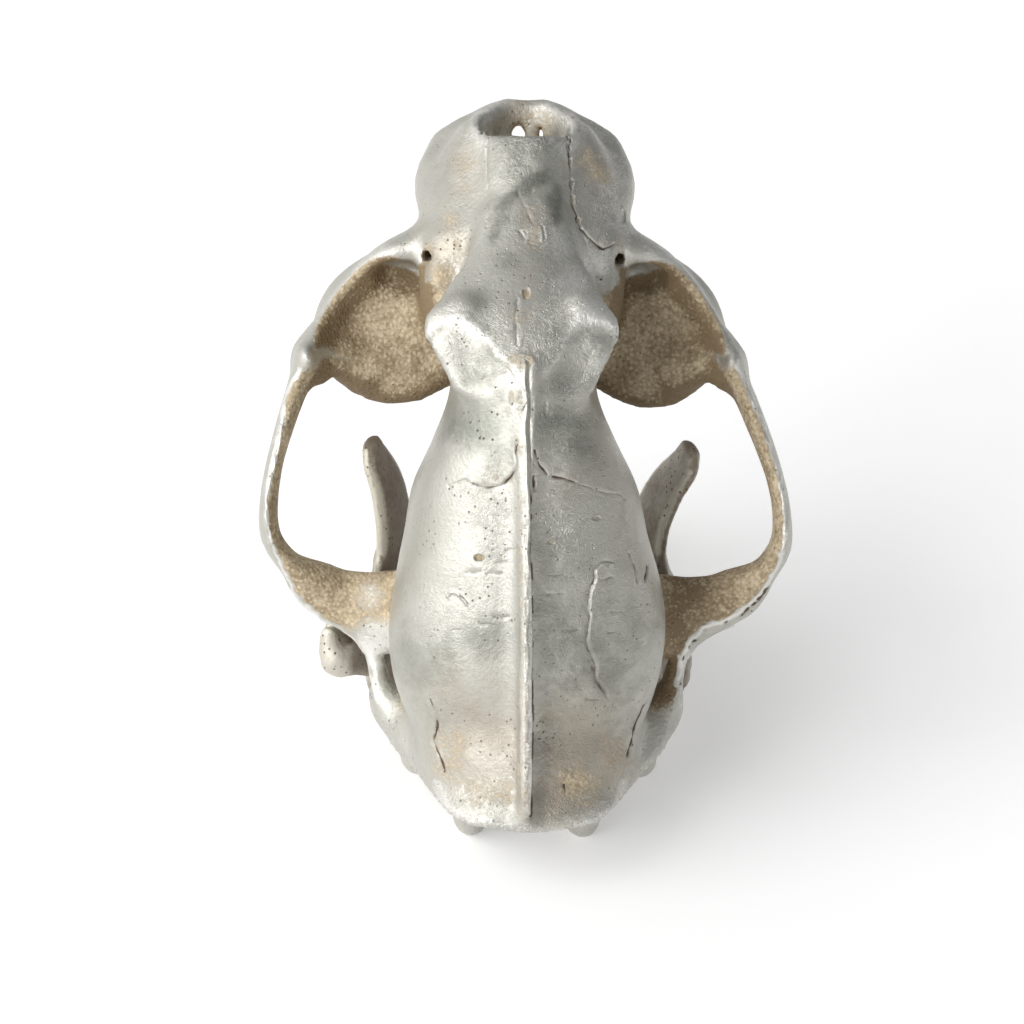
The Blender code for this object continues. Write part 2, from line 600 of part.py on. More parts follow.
def make_teeth(stand):
    enamel = material("enamel", TOOTH_COLOUR, 0.25, 0.0)
    for side, hand in ((1, "right"), (-1, "left")):
        for jaw, rows, make in (("upper", UPPER_TEETH, upper_tooth), ("lower", LOWER_TEETH, lower_tooth)):
            for row in rows:
                name = f"{hand}_{jaw}_{row[0]}"
                node(name, mesh_from(name, *make(row, side)), enamel, stand)


def stand_on_floor(stand):
    """Tips the skull back onto its condyles and chin, with its middle over the origin."""
    stand.rotation_euler = (math.radians(PITCH_DEG), 0, 0)
    bpy.context.view_layer.update()
    corners = []
    for item in bpy.data.objects:
        if item.type == "MESH" and not item.hide_render:
            corners += [item.matrix_world @ point.co for point in item.data.vertices]
    corners = np.array(corners)
    middle = (corners.min(axis=0) + corners.max(axis=0)) / 2
    stand.location = (-middle[0], -middle[1], -FLOOR_LEVEL * MM)


def main():
    clear_scene()
    stand = bpy.data.objects.new("stance", None)
    bpy.context.scene.collection.objects.link(stand)
    make_cranium(stand)
    make_mandible("right_mandible", 1, RIGHT_CORNER, RIGHT_BLADE, stand)
    make_mandible("left_mandible", -1, LEFT_CORNER, LEFT_BLADE, stand)
    make_teeth(stand)
    stand_on_floor(stand)


main()
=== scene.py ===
"""The looks of a leopard skull that stands on its two condyles and its chin with its jaws wide open.

Each piece is shaped in the skull's own frame, in millimetres: x to the animal's right, y towards the
snout, z towards the top of the head. It is then tipped back as the skull stands, in metres.
"""
import math

import bmesh
import bpy
import numpy as np
from mathutils import Matrix, Vector


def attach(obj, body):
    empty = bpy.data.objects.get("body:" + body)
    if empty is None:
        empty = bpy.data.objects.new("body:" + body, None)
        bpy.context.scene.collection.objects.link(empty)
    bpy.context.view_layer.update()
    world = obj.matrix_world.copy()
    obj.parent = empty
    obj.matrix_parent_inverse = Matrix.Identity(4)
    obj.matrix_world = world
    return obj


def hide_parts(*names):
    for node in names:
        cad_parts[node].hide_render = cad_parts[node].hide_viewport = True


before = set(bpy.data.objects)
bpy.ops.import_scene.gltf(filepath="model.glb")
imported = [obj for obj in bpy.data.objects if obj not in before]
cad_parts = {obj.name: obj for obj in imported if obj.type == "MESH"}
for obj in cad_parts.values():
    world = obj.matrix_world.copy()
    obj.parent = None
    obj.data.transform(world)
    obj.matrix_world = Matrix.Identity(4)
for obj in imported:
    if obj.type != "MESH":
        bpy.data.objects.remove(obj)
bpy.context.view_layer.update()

# The cranium. All of its bones have grown together, and their old seams still show as fine cracks.
# It is thin dry bone with a silvery, pearly rub on all that stands out and brown bone in the hollows.
# It is shaped here as clay that is added and carved away, and then skinned.
MM = 0.001
SNOUT_Y = 148.5
CREST_TOP = 78.5
ARCH_HALF_WIDTH = 77.5
JOINT_HEIGHT = 11.0
# How far it leans back as it stands, and where that puts the skull's own middle.
PITCH_DEG = 62.1
STANCE = np.array((0.2, -21.0, 52.0))
# Where the two sides differ: a place along y, how far that spreads, and the shift to the right.
UNEVEN = [(75, 34, -1.8), (2, 12, 0.7), (-52, 13, 0.9)]
SKEW = 0.015
# How far off counts as away from the clay, and how far two pieces of clay melt together at most.
FAR = 30.0
WIDEST_BLEND = 7.0
TINY = 1e-9


def smooth_between(places, values, at):
    """Reads values, known at rising places, along one smooth curve through them."""
    places = np.asarray(places, float)
    values = np.asarray(values, float)
    slopes = np.gradient(values, places)
    at = np.clip(at, places[0], places[-1])
    left = np.clip(np.searchsorted(places, at) - 1, 0, len(places) - 2)
    span = places[left + 1] - places[left]
    t = (at - places[left]) / span
    start = values[left] * (2 * t**3 - 3 * t**2 + 1) + slopes[left] * span * (t**3 - 2 * t**2 + t)
    end = values[left + 1] * (3 * t**2 - 2 * t**3) + slopes[left + 1] * span * (t**3 - t**2)
    return start + end


def off_egg(shares, radii):
    """How far a point is off an egg's skin, from its place as shares of the egg's half sizes."""
    near = np.sqrt(sum(share * share for share in shares)) + TINY
    steep = np.sqrt(sum((share / radius)**2 for share, radius in zip(shares, radii))) + TINY
    return near * (near - 1) / steep


def ellipsoid(centre, radii):
    """An egg of clay: its box, and its distance at any point."""
    def distance(x, y, z):
        return off_egg([(at - c) / r for at, c, r in zip((x, y, z), centre, radii)], radii)
    low = [c - r for c, r in zip(centre, radii)]
    high = [c + r for c, r in zip(centre, radii)]
    return low, high, distance


def hull(stations):
    """A long body along y. Each station is y, half width, bottom, top, squareness and lean."""
    rows = sorted(stations)
    places = [row[0] for row in rows]
    columns = [[row[k] for row in rows] for k in range(1, 6)]

    def distance(x, y, z):
        width, bottom, top, power, lean = (smooth_between(places, c, y) for c in columns)
        middle = (bottom + top) / 2
        height = (top - bottom) / 2
        level = (z - middle) / height
        width = width * (1 - lean * np.clip(level, -1, 1))
        u = np.abs(x) / width
        w = np.abs(level)
        ring = (u**power + w**power + TINY)**(1 / power)
        slope = np.sqrt((u**(power - 1) / width)**2 + (w**(power - 1) / height)**2) * ring**(1 - power)
        beside = (ring - 1) / np.maximum(slope, 1 / np.maximum(width, height))
        beyond = np.maximum(y - places[-1], places[0] - y)
        return np.maximum(beside, beyond)
    wide = max(columns[0]) * 1.4
    low = (-wide, places[0], min(columns[1]))
    high = (wide, places[-1], max(columns[2]))
    return low, high, distance


def curved(stations, pieces):
    """A smooth line through stations, with that many straight pieces from each one to the next."""
    stations = np.asarray(stations, float)
    knots = np.arange(len(stations))
    fine = np.linspace(0, len(stations) - 1, (len(stations) - 1) * pieces + 1)
    return np.stack([smooth_between(knots, column, fine) for column in stations.T], axis=1)


def limb(stations, broad=(0, 0, 1)):
    """A limb swept smoothly through stations of x, y, z, half breadth and half thickness.

    The breadth lies along the direction called broad, and the thickness across it.
    """
    path = curved(stations, 3)
    reach = path[:, 3:].max(axis=1)
    low = (path[:, :3] - reach[:, None]).min(axis=0)
    high = (path[:, :3] + reach[:, None]).max(axis=0)

    def stretch(start, end, x, y, z):
        run = end[:3] - start[:3]
        length = np.linalg.norm(run)
        along = run / length
        up = np.asarray(broad, float)
        up = up - along * up.dot(along)
        up = up / np.linalg.norm(up)
        side = np.cross(along, up)
        px, py, pz = x - start[0], y - start[1], z - start[2]
        share = np.clip((px * along[0] + py * along[1] + pz * along[2]) / length, 0, 1)
        px, py, pz = px - share * run[0], py - share * run[1], pz - share * run[2]
        breadth = start[3] + share * (end[3] - start[3])
        depth = start[4] + share * (end[4] - start[4])
        u = (px * up[0] + py * up[1] + pz * up[2]) / breadth
        v = (px * side[0] + py * side[1] + pz * side[2]) / depth
        w = (px * along[0] + py * along[1] + pz * along[2]) / depth
        return off_egg((u, v, w), (breadth, depth, depth))

    def distance(x, y, z):
        nearest = np.full(np.broadcast_shapes(x.shape, y.shape, z.shape), FAR)
        for start, end in zip(path, path[1:]):
            room = max(start[3], start[4], end[3], end[4]) + WIDEST_BLEND
            cut = []
            for k, axis in enumerate((x, y, z)):
                line = axis.ravel()
                bottom = min(start[k], end[k]) - room
                top = max(start[k], end[k]) + room
                cut.append(slice(np.searchsorted(line, bottom), np.searchsorted(line, top)))
            near = stretch(start, end, x[cut[0]], y[:, cut[1]], z[:, :, cut[2]])
            nearest[tuple(cut)] = np.minimum(nearest[tuple(cut)], near)
        return nearest
    return low, high, distance


class Clay:
    """One half of a bone as a block of points that hold their distance to its surface."""

    def __init__(self, low, high, cell):
        self.cell = cell
        self.axes = [np.arange(a, b + cell, cell) for a, b in zip(low, high)]
        self.field = np.full([len(axis) for axis in self.axes], FAR)

    def window(self, low, high, room):
        """The part of the block that lies in a box with some room round it, and its points."""
        cut = []
        for axis, bottom, top in zip(self.axes, low, high):
            cut.append(slice(np.searchsorted(axis, bottom - room), np.searchsorted(axis, top + room)))
        parts = [axis[part] for axis, part in zip(self.axes, cut)]
        return tuple(cut), np.meshgrid(*parts, indexing="ij", sparse=True)

    def add(self, form, blend, sign=1):
        """Adds a form and melts it in over the blend. With a sign of -1 the form is carved away."""
        low, high, distance = form
        cut, points = self.window(low, high, blend + 2)
        old = sign * self.field[cut]
        new = distance(*points)
        near = np.maximum(blend - np.abs(old - new), 0) / blend
        self.field[cut] = sign * (np.minimum(old, new) - near * near * blend / 4)

    def carve(self, form, blend):
        self.add(form, blend, -1)

    def mirrored(self):
        """The whole bone, from the half where x is 0 or more."""
        self.field = np.concatenate((self.field[:0:-1], self.field))
        self.axes[0] = np.concatenate((-self.axes[0][:0:-1], self.axes[0]))
        return self

    def at(self, points):
        """The distance to the surface at any points, read between the block's own points."""
        spot = (points - np.array([axis[0] for axis in self.axes])) / self.cell
        spot = np.clip(spot, 0, np.array(self.field.shape) - 1.001)
        cell = spot.astype(int)
        part = spot - cell
        total = np.zeros(len(points))
        for corner in np.ndindex(2, 2, 2):
            weight = np.prod(np.where(corner, part, 1 - part), axis=1)
            total += weight * self.field[tuple((cell + corner).T)]
        return total


def skin(clay):
    """Skins the clay with four-sided faces: one point in each cell that its surface crosses."""
    field = clay.field
    cells = np.array(field.shape) - 1
    steps = np.array((cells[1] * cells[2], cells[2], 1))
    total = np.zeros((cells.prod(), 3))
    count = np.zeros(cells.prod())
    faces = []
    for axis in range(3):
        first = [slice(None)] * 3
        second = [slice(None)] * 3
        first[axis] = slice(0, -1)
        second[axis] = slice(1, None)
        here, there = field[tuple(first)], field[tuple(second)]
        crossed = (here < 0) != (there < 0)
        spot = np.argwhere(crossed)
        inside = here[crossed]
        point = spot.astype(float)
        point[:, axis] += inside / (inside - there[crossed])
        u, v = (axis + 1) % 3, (axis + 2) % 3
        corners = []
        for back_u, back_v in ((0, 0), (1, 0), (1, 1), (0, 1)):
            cell = spot.copy()
            cell[:, u] -= back_u
            cell[:, v] -= back_v
            flat = cell @ steps
            for k in range(3):
                total[:, k] += np.bincount(flat, point[:, k], len(total))
            count += np.bincount(flat, minlength=len(count))
            corners.append(flat)
        quads = np.stack(corners, axis=1)
        faces.append(np.where((inside < 0)[:, None], quads, quads[:, ::-1]))
    used = count > 0
    number = np.cumsum(used) - 1
    points = total[used] / count[used][:, None] * clay.cell
    points += np.array([axis[0] for axis in clay.axes])
    return points, number[np.concatenate(faces)]


def relaxed(points, faces, rounds=3, share=0.5):
    """Evens out the skin: each point moves part of the way to the middle of its neighbours, and back."""
    edges = np.concatenate([faces[:, (k, (k + 1) % faces.shape[1])] for k in range(faces.shape[1])])
    start, end = edges.T
    count = np.bincount(start, minlength=len(points))[:, None]
    for step in [share, -share * 1.04] * rounds:
        middle = np.stack([np.bincount(start, points[end, k], len(points)) for k in range(3)], axis=1)
        points = points + step * (middle / count - points)
    return points


def unevened(points):
    """No skull is quite even: the left cheek stands out, and the right side lies further back."""
    for place, spread, shift in UNEVEN:
        share = np.exp(-((points[:, 1] - place) / spread)**2)
        points[:, 0] += shift * share * np.clip(np.abs(points[:, 0]) / 40, 0, 1)
    points[:, 1] -= SKEW * points[:, 0]
    return points


def standing(points):
    """Tips points in the skull's frame back onto the condyles and the chin, in metres."""
    turn = np.array(Matrix.Rotation(math.radians(PITCH_DEG), 3, "X"))
    return (points @ turn.T + STANCE) * MM


def shape_snout(clay):
    """Premaxilla, maxilla and palate, with the roots of the canines standing out at the sides."""
    clay.add(limb([(21, 131, 5, 8.8, 8.8), (24, 123, 13, 8.8, 8.8),
                   (23.6, 112, 24, 6.8, 6.8), (21, 102, 36, 5, 5)]), 6)
    clay.add(limb([(12, 136, 21, 6, 6), (14.3, 127, 22, 10, 10), (15.5, 115, 28, 10, 10),
                   (16, 104, 37, 8, 8)]), 7)
    clay.add(limb([(7, 142, 5, 5, 5), (20, 134, 5, 5, 6), (23, 112, 5, 5, 6), (28.5, 98, 6, 6, 6),
                   (34, 86, 6.5, 6.5, 6), (38, 74, 8, 6, 5.5)]), 5)
    clay.add(ellipsoid((0, 82, 9), (31, 24, 4.5)), 4)
    clay.carve(ellipsoid((0, 101, -3), (15.5, 40, 9)), 4)
    clay.carve(ellipsoid((17.5, 143.5, 20), (2, 2.4, 9)), 2)


def shape_forehead(clay):
    """The broad frontal bones: a shield that ends in the brows and the processes behind them."""
    clay.add(limb([(0, 110, 47, 12, 4.5), (0, 100, 52.5, 15.5, 5), (0, 92, 57.5, 20, 5.5),
                   (0, 84, 63, 25, 5.5), (0, 77, 67.5, 27.5, 5.5), (0, 70, 70, 25, 6),
                   (0, 62, 70.5, 21, 6)], broad=(1, 0, 0)), 5)
    clay.add(limb([(17, 82, 67, 4, 5), (25, 79, 66, 3.2, 3.4), (30.5, 75.5, 62.5, 2.2, 2.4)]), 4)


# The middle and the half sizes of the egg that hollows out an eye socket.
EYE_SOCKET = (41.5, 80.5, 46), (20.5, 20.5, 27)


def shape_orbit(clay):
    """The cheek root, the floor and the inner wall of the eye socket, and the holes for nerve and tears."""
    clay.add(ellipsoid((38, 79.4, 12), (23, 22.3, 9)), 5)
    clay.add(limb([(46, 70, 17, 8, 6), (56, 72.5, 21, 7.5, 6), (61, 69, 24, 7, 5)], broad=(0, 1, 0)), 5)
    clay.carve(ellipsoid(*EYE_SOCKET), 4)
    clay.add(limb([(24, 99, 27, 14, 6), (24, 90, 30, 15, 6), (21.5, 78, 32, 16, 5.5),
                   (17, 67, 34, 15, 3.5)]), WIDEST_BLEND)
    clay.carve(ellipsoid((35.5, 94.5, 25), (7.5, 5.5, 8)), 3)
    clay.carve(limb([(28.8, 97, 50, 2.0, 1.7), (28.3, 98.8, 40, 2.0, 1.7), (27, 102, 29, 1.7, 1.6)]), 0.8)


def shape_arch(clay):
    """The zygomatic arch: a thin upright blade from the cheek to the jaw joint."""
    clay.add(limb([(30, 104, 20, 14, 6), (40, 98.5, 21, 13.5, 5.5), (49.6, 89.6, 21.5, 12.5, 4.5),
                   (57.8, 77.7, 22.5, 12, 3.8), (63.2, 67, 25, 11.5, 3.4), (68, 55, 28, 9, 3.1),
                   (72.6, 41, 30, 8.5, 2.9), (75.2, 28, 29.5, 8.5, 2.9), (75, 17, 26.5, 8.5, 3.4),
                   (69.4, 8.5, 22.5, 8, 4), (61.5, 4, 19, 6.5, 5)]), 5)
    clay.add(limb([(63.2, 69, 33, 5, 2.4), (61.8, 70, 38.5, 2.2, 1.4)], broad=(0, 1, 0)), 3)


def shape_joint(clay):
    """The shelf that carries the jaw joint, its hollow, and the ledge that runs back over the ear."""
    clay.add(limb([(34, -5, 22, 14, 7), (46, -3, 18, 10.5, 6), (58, 0.5, 17.5, 7.5, 5.5),
                   (65.5, 4, 20.5, 5, 4.5)], broad=(0, 1, 0)), 5)
    clay.add(limb([(65, -0.5, 17, 3, 2.5), (59, -4, 16.5, 3, 2.5), (50, -9.5, 16.5, 3.2, 2.6),
                   (44.5, -19, 16, 3.4, 2.8), (43, -28, 15, 4, 3.2)]), 4)
    clay.add(limb([(45, -7.5, 7.5, 5, 2.6), (52, -8, 8, 4.5, 2.6), (60, -6, 11, 3, 2.4)]), 3)
    clay.carve(limb([(41, 0, JOINT_HEIGHT, 6, 6), (66, 0, JOINT_HEIGHT, 6, 6)]), 1.0)
    clay.carve(limb([(43, -1, 5, 5, 7), (66, -1, 5, 5, 7)]), 1.0)


def shape_crests(clay):
    """The ridge along the top of the head and the rim round the back of it."""
    clay.add(limb([(0, 66, 74.5, 2.5, 1.2), (0, 48, CREST_TOP - 3.5, 2.8, 1.2),
                   (0, 25, CREST_TOP - 4.5, 3.8, 1.2), (0, 0, CREST_TOP - 7, 4.8, 1.2),
                   (0, -28, CREST_TOP - 11, 5.3, 1.3), (0, -48, CREST_TOP - 16, 5.8, 1.5),
                   (0, -62, CREST_TOP - 21.5, 4.4, 2.0)]), 7)
    clay.add(limb([(0, -58.5, 57, 8, 3), (10, -58, 55.5, 8, 2.8), (17.4, -56, 51, 8, 2.6),
                   (22, -51.5, 44, 8, 2.6), (26.4, -46.5, 36, 8, 2.6), (32, -41, 28, 8, 2.6),
                   (37.7, -36, 19, 7, 2.8), (40.6, -31, 12, 5, 3)], broad=(0.4, -0.9, 0.2)), 5)
    clay.carve(ellipsoid((19.5, 66, 83.5), (13, 12.5, 12)), 3)


def shape_underside(clay):
    """Skull base: condyles, ear capsules, mastoids, paroccipital and pterygoid processes."""
    clay.add(limb([(0, 44, 15, 9, 5), (0, 15, 14.5, 10, 5), (0, -20, 14.5, 12, 5), (0, -50, 17, 13, 5)],
                  broad=(1, 0, 0)), 4)
    clay.add(ellipsoid((21, -22, 11.5), (11.5, 16.5, 12)), 3)
    clay.add(ellipsoid((40.5, -32.6, 12), (5.3, 6.2, 8)), 4)
    clay.add(limb([(32, -41, 22, 8, 5), (33.8, -47, 10, 5.5, 4.5), (32.6, -50, 3, 3.8, 3.4)],
                  broad=(0, 1, 0)), 4)
    clay.add(ellipsoid((0, -45, 37), (30, 15.5, 22)), 6)
    clay.add(limb([(16.8, -60, 30, 6, 5.2), (16.5, -62.5, 21, 8, 5.2), (12, -58, 15, 5, 5)],
                  broad=(0, 1, 0)), 3)
    clay.carve(ellipsoid((0, -66, 27.5), (12.5, 34, 9.5)), 2)
    clay.carve(limb([(44, -17, 12, 4, 4), (30, -18, 13, 3.4, 3.4)]), 1.5)
    clay.add(limb([(14, 66, 9, 6, 2.2), (12.5, 48, 10, 7, 1.9), (11.5, 34, 8.5, 6, 1.8),
                   (11, 27, 5, 2.6, 1.6)]), 3)


def shape_nose(clay):
    """The open nose: wide at the front, running back under the nasal bones."""
    clay.carve(limb([(0, 152, 32.4, 12, 13.8), (0, 141, 28.5, 11.5, 13.4), (0, 128, 27.5, 11, 12),
                     (0, 112, 28, 10, 9), (0, 96, 29, 6, 6)]), 2)
    clay.carve(limb([(0, 152, 18, 9, 9.5), (0, 141, 17.5, 8, 9), (0, 128, 19, 8, 8.5),
                     (0, 112, 22, 6, 7)]), 3)
    clay.carve(limb([(0, 70, 5, 5, 11), (0, 54, 7, 5.5, 9.5), (0, 38, 7, 4, 9)]), 2)


CRANIUM_HULL = [
    (148.5, 6.5, 1, 8, 2.2, 0.0), (147, 10.5, 0, 12, 2.4, 0.0), (144, 14.8, 0, 20, 2.6, 0.1),
    (139.5, 18, 0, 35, 2.8, 0.25), (135.5, 18.5, 1, 40.5, 2.8, 0.32), (130, 18.5, 1, 43, 2.8, 0.34),
    (120, 19, 1, 47.5, 2.8, 0.34),
    (110, 20, 1, 52.5, 2.8, 0.32), (102, 20, 3, 57.5, 2.7, 0.25), (94, 18.5, 5, 63, 2.6, 0.05),
    (85, 17.5, 8, 68.5, 2.5, -0.15), (76, 18.5, 10, 73, 2.4, -0.2), (66, 20, 12, 75.5, 2.4, -0.1),
    (57, 22.2, 13, 76.5, 2.4, 0.0), (46, 26.8, 13, 76, 2.4, 0.05), (34, 32.2, 12, 75, 2.4, 0.08),
    (20, 35, 11, 73.5, 2.4, 0.1), (5, 38.5, 11, 71.5, 2.3, 0.1), (-8, 40, 11, 69, 2.3, 0.1),
    (-20, 39, 11, 66, 2.3, 0.1), (-34, 34.5, 12, 61.5, 2.2, 0.1), (-46, 29, 13, 57, 2.2, 0.1),
    (-56, 20, 16, 52, 2.2, 0.0), (-61, 13, 20, 47, 2.1, 0.0)]


def cranium_clay(cell):
    """The whole cranium. The two holes at the front of the palate aren't alike."""
    clay = Clay((0, -75, -6), (ARCH_HALF_WIDTH + 5, SNOUT_Y + 5, CREST_TOP + 6), cell)
    clay.add(hull(CRANIUM_HULL), 1)
    shape_snout(clay)
    shape_forehead(clay)
    shape_arch(clay)
    shape_orbit(clay)
    shape_joint(clay)
    shape_crests(clay)
    shape_underside(clay)
    shape_nose(clay)
    clay.mirrored()
    clay.carve(ellipsoid((-2.2, 138.2, 5), (2.4, 3.4, 8)), 1)
    clay.carve(ellipsoid((4.9, 138.4, 5), (0.9, 3.2, 8)), 1)
    return clay


# The marks on top of the skull, each as a run of x and y. First comes how deep it is, how wide it is
# to each side, and how high its lips stand.
SEAMS = [
    (0.16, 0.30, 0.05, [(-11, 137), (-11.5, 128), (-11, 120.5), (-10.5, 113), (-11.5, 108)]),
    (0.50, 0.36, 0.05, [(12, 136.5), (12.5, 130), (13, 124), (13.2, 120), (13.5, 116), (14.5, 112),
                        (16, 108)]),
    (0.10, 0.30, 0.05, [(-11.5, 108), (-13.5, 103), (-18, 95)]),
    (0.12, 0.30, 0.05, [(16, 108), (18, 101), (22, 92)]),
    (0.80, 0.32, 0.08, [(16, 108), (19, 104.5), (21.5, 102.5), (23, 102), (26, 103.5)]),
    (0.08, 0.30, 0.03, [(-30, 101.6), (-27, 102.6), (-24, 101.8), (-21.5, 102.8), (-19, 102)]),
    (0.14, 0.45, 0.04, [(-2.5, 118), (-1, 115), (0.5, 112.5), (1.5, 109)]),
    (0.30, 0.28, 0.04, [(-1.8, 106.2), (-0.9, 105), (-0.4, 103.6)]),
    (0.12, 0.28, 0.12, [(0.5, 103), (3, 102), (5.5, 102.6)]),
    (0.10, 0.28, 0.10, [(3.8, 108.5), (5, 106), (5.2, 103.5)]),
    (0.12, 0.35, 0.12, [(-2.5, 86), (-3, 80), (-2.5, 73)]),
    (0.60, 0.32, 0.10, [(-3, 44), (-3.2, 38), (-6, 34), (-10.5, 32.5), (-15, 33.6)]),
    (0.20, 0.35, 0.08, [(-15, 33.6), (-18, 34.5), (-22, 33)]),
    (0.70, 0.34, 0.08, [(2.5, 43), (4, 38.5), (6, 36.3)]),
    (0.60, 0.34, 0.08, [(7.5, 35.6), (10, 35), (14, 34)]),
    (0.15, 0.30, 0.06, [(14, 34), (21, 31.5), (27, 30.5), (28.5, 29)]),
    (0.90, 0.36, 0.05, [(2.6, 36), (2.5, 31.5)]),
    (0.30, 0.35, 0.06, [(-36, 38), (-33, 36.5), (-30.5, 35.5)]),
    (0.45, 0.32, 0.10, [(29.5, 14), (31, 10), (31.8, 5.5)]),
    (0.45, 0.32, 0.10, [(35, 10), (34.4, 6)]),
    (0.55, 0.34, 0.12, [(-27.5, -28.5), (-25.5, -36), (-27, -40.5), (-25, -44.5), (-23, -50.5)]),
    (0.80, 0.36, 0.10, [(36, -29), (33, -33.5), (31, -40.5), (29.5, -45)]),
    (0.50, 0.36, 0.08, [(11, -52.5), (11.2, -56)]),
    (0.45, 0.34, 0.06, [(13, 134.5), (13, 130)]),
    (0.45, 0.32, 0.08, [(17.5, 133.5), (17.8, 131)]),
    # A wide, shallow groove beside the ledge, darkened with painted shadow.
    (0.30, 0.90, 0.00, [(17.7, -13.5), (18.4, -18), (20.1, -22.5), (22.6, -26.5)])]

# The seams of the palate and of the skull base, seen from below.
PALATE_SEAMS = [
    (0.30, 0.40, 0.10, [(0, 146), (0.3, 130), (-0.3, 115), (0.2, 95), (0, 74)]),
    (0.20, 0.40, 0.05, [(-16, 96), (-9, 99), (-4, 101), (4, 101), (9, 99), (16, 96)]),
    (0.20, 0.40, 0.05, [(-13, 132), (-8, 129), (-3.5, 130), (3.5, 130), (8, 129), (13, 132)]),
    (0.25, 0.50, 0.10, [(-13, 2), (-5, 3), (5, 3), (13, 2)])]
# Small holes for nerves and blood, seen from below, the same on both sides: x, y and radius.
PALATE_HOLES = [(11, 92, 1.0), (12, 86, 0.6), (17, 18, 1.3), (21, 8, 1.6), (11, -43, 1.2), (14, 70, 0.8)]

# Small chips and holes: the middle, half the length and half the width, how high it stands, and how
# brown it is.
CHIPS = [
    (-1.0, 68.3, 4.2, 2.1, 0.35, 0.5), (2.6, 105.4, 3.0, 2.6, 0.25, 0.3), (0, 88, 1.2, 1.6, -0.7, 0.7),
    (-13.5, 12.5, 1.6, 1.1, -0.9, 0.8), (20, 23.8, 1.2, 0.6, -0.3, 0.5), (7, 17, 1.2, 0.7, -0.3, 0.4),
    (-4.2, 57.5, 0.9, 2.4, -0.2, 0.45), (5.5, 55, 0.6, 2.2, -0.2, 0.35),
    (12.4, 132.6, 0.7, 1.5, -0.5, 0.5), (12.9, 127.6, 0.6, 1.7, -0.6, 0.5),
    (13.3, 121.4, 0.7, 1.5, -0.6, 0.5), (13.7, 116.4, 0.6, 1.4, -0.5, 0.5),
    (15.2, 110.4, 0.8, 1.1, -0.5, 0.5), (28.5, 112.5, 0.8, 2.2, -0.25, 0.2)]

# Short dashes across the braincase: the middle of each, half its length, and how deep it is.
DASHES = [
    (-8.5, 14.5, 1.3, 0.35), (-4, 14.7, 1.8, 0.45), (-7, 11, 1.6, 0.4), (-15, 8, 2.2, 0.45),
    (-9, 8, 2.3, 0.5), (-7, -4.5, 2.0, 0.5), (-11, -6.7, 1.9, 0.55), (-20, -8.2, 1.4, 0.4),
    (8.5, 7.6, 2.1, 0.45), (12.5, 7.1, 1.2, 0.4), (8.2, 2.2, 2.2, 0.35), (23, 6.6, 1.9, 0.5),
    (14, -25, 2.0, 0.4), (19, -28.2, 1.8, 0.4), (26, -3, 1.5, 0.3), (25, -9, 1.6, 0.35),
    (13, -8, 1.4, 0.3)]
# A small curled scar, and a ledge with an open crack along it, darkened with painted shadow.
SCAR = [(-22.5, 1.2), (-20.8, 2.4), (-19, 1.6), (-17, -1)]
LEDGE = [(24.5, 11), (22.5, 11.2), (21, 10.3), (19.6, 8), (18.8, 4), (18.4, 0.5), (18.2, -5.5), (17.5, -11),
         (18.8, -15.5), (20.3, -20.5), (22.5, -25.5), (24, -28)]
# The lines where the jaw muscles end behind the brows, left and right.
TEMPLE_LINES = [
    [(-28.5, 75), (-27, 77.5), (-23, 79.8), (-18.5, 79.8), (-14.5, 77.6), (-10.8, 74), (-7.5, 69.5)],
    [(29, 73.5), (25.5, 78.5), (21, 80.8), (16, 80), (12.6, 76.5), (9.8, 71.5), (5.5, 65)]]
# The upper edges of the cheek arches, left and right.
ARCH_EDGES = [
    [(-64, 70), (-68, 64), (-71, 57.5), (-71.5, 47.5), (-72.5, 42), (-74.5, 35), (-76, 27.5), (-75, 20.5),
     (-72.5, 11.5), (-69.5, 4), (-65.5, -1.5), (-61.5, -5.5), (-56, -9), (-51, -12.5), (-48.5, -17),
     (-46, -23), (-44.5, -30)],
    [(62, 68), (64.5, 63), (66.4, 58.3), (70, 49.7), (72, 44.2), (74.4, 34.9), (75.5, 23.2), (75.6, 17.6),
     (74.1, 10.6), (71.2, 4.1), (67.8, -0.3), (62.7, -4.3), (55.7, -7.5), (51, -9.9), (47.5, -15),
     (45.5, -20.7), (44.8, -25.4)]]
# The rim round the back of the head, the top of the crest, and the rear edges of the eye sockets.
NECK_RIM = [(-26, -53), (-24, -58), (-21, -60.5), (-16, -62.5), (-11, -63.5), (-6, -64), (-0.5, -65),
            (6, -65.6), (13.3, -65.4), (19.9, -64), (23.6, -61.4), (26.8, -56.8), (28, -53)]
CREST_RUN = [(-0.3, 67), (0, 51.5), (0.4, 34.5), (0.5, 15), (0.8, -5), (1, -28), (1, -45), (1, -60.5)]
EYE_RIMS = [[(-59, 62), (-52, 64), (-46, 60), (-40, 58), (-36, 57), (-30, 59)],
            [(30, 58), (35, 57), (40, 57), (46, 59), (52, 62), (58, 63)]]


def from_run(spots, run, reach=9.0):
    """How far each spot is from a run of points, and on which side of it the spot lies."""
    near = np.full(len(spots), FAR)
    side = np.ones(len(spots))
    run = curved(run, 4)
    close = ((spots > run.min(axis=0) - reach) & (spots < run.max(axis=0) + reach)).all(axis=1)
    place, least, turned_to = spots[close], near[close], side[close]
    for start, end in zip(run, run[1:]):
        step = end - start
        share = np.clip((place - start) @ step / (step @ step), 0, 1)
        gap = place - start - share[:, None] * step
        length = np.hypot(gap[:, 0], gap[:, 1])
        closer = length < least
        least = np.where(closer, length, least)
        turned = step[0] * (place[:, 1] - start[1]) - step[1] * (place[:, 0] - start[0])
        turned_to = np.where(closer, np.sign(turned), turned_to)
    near[close] = least
    side[close] = turned_to
    return near, side


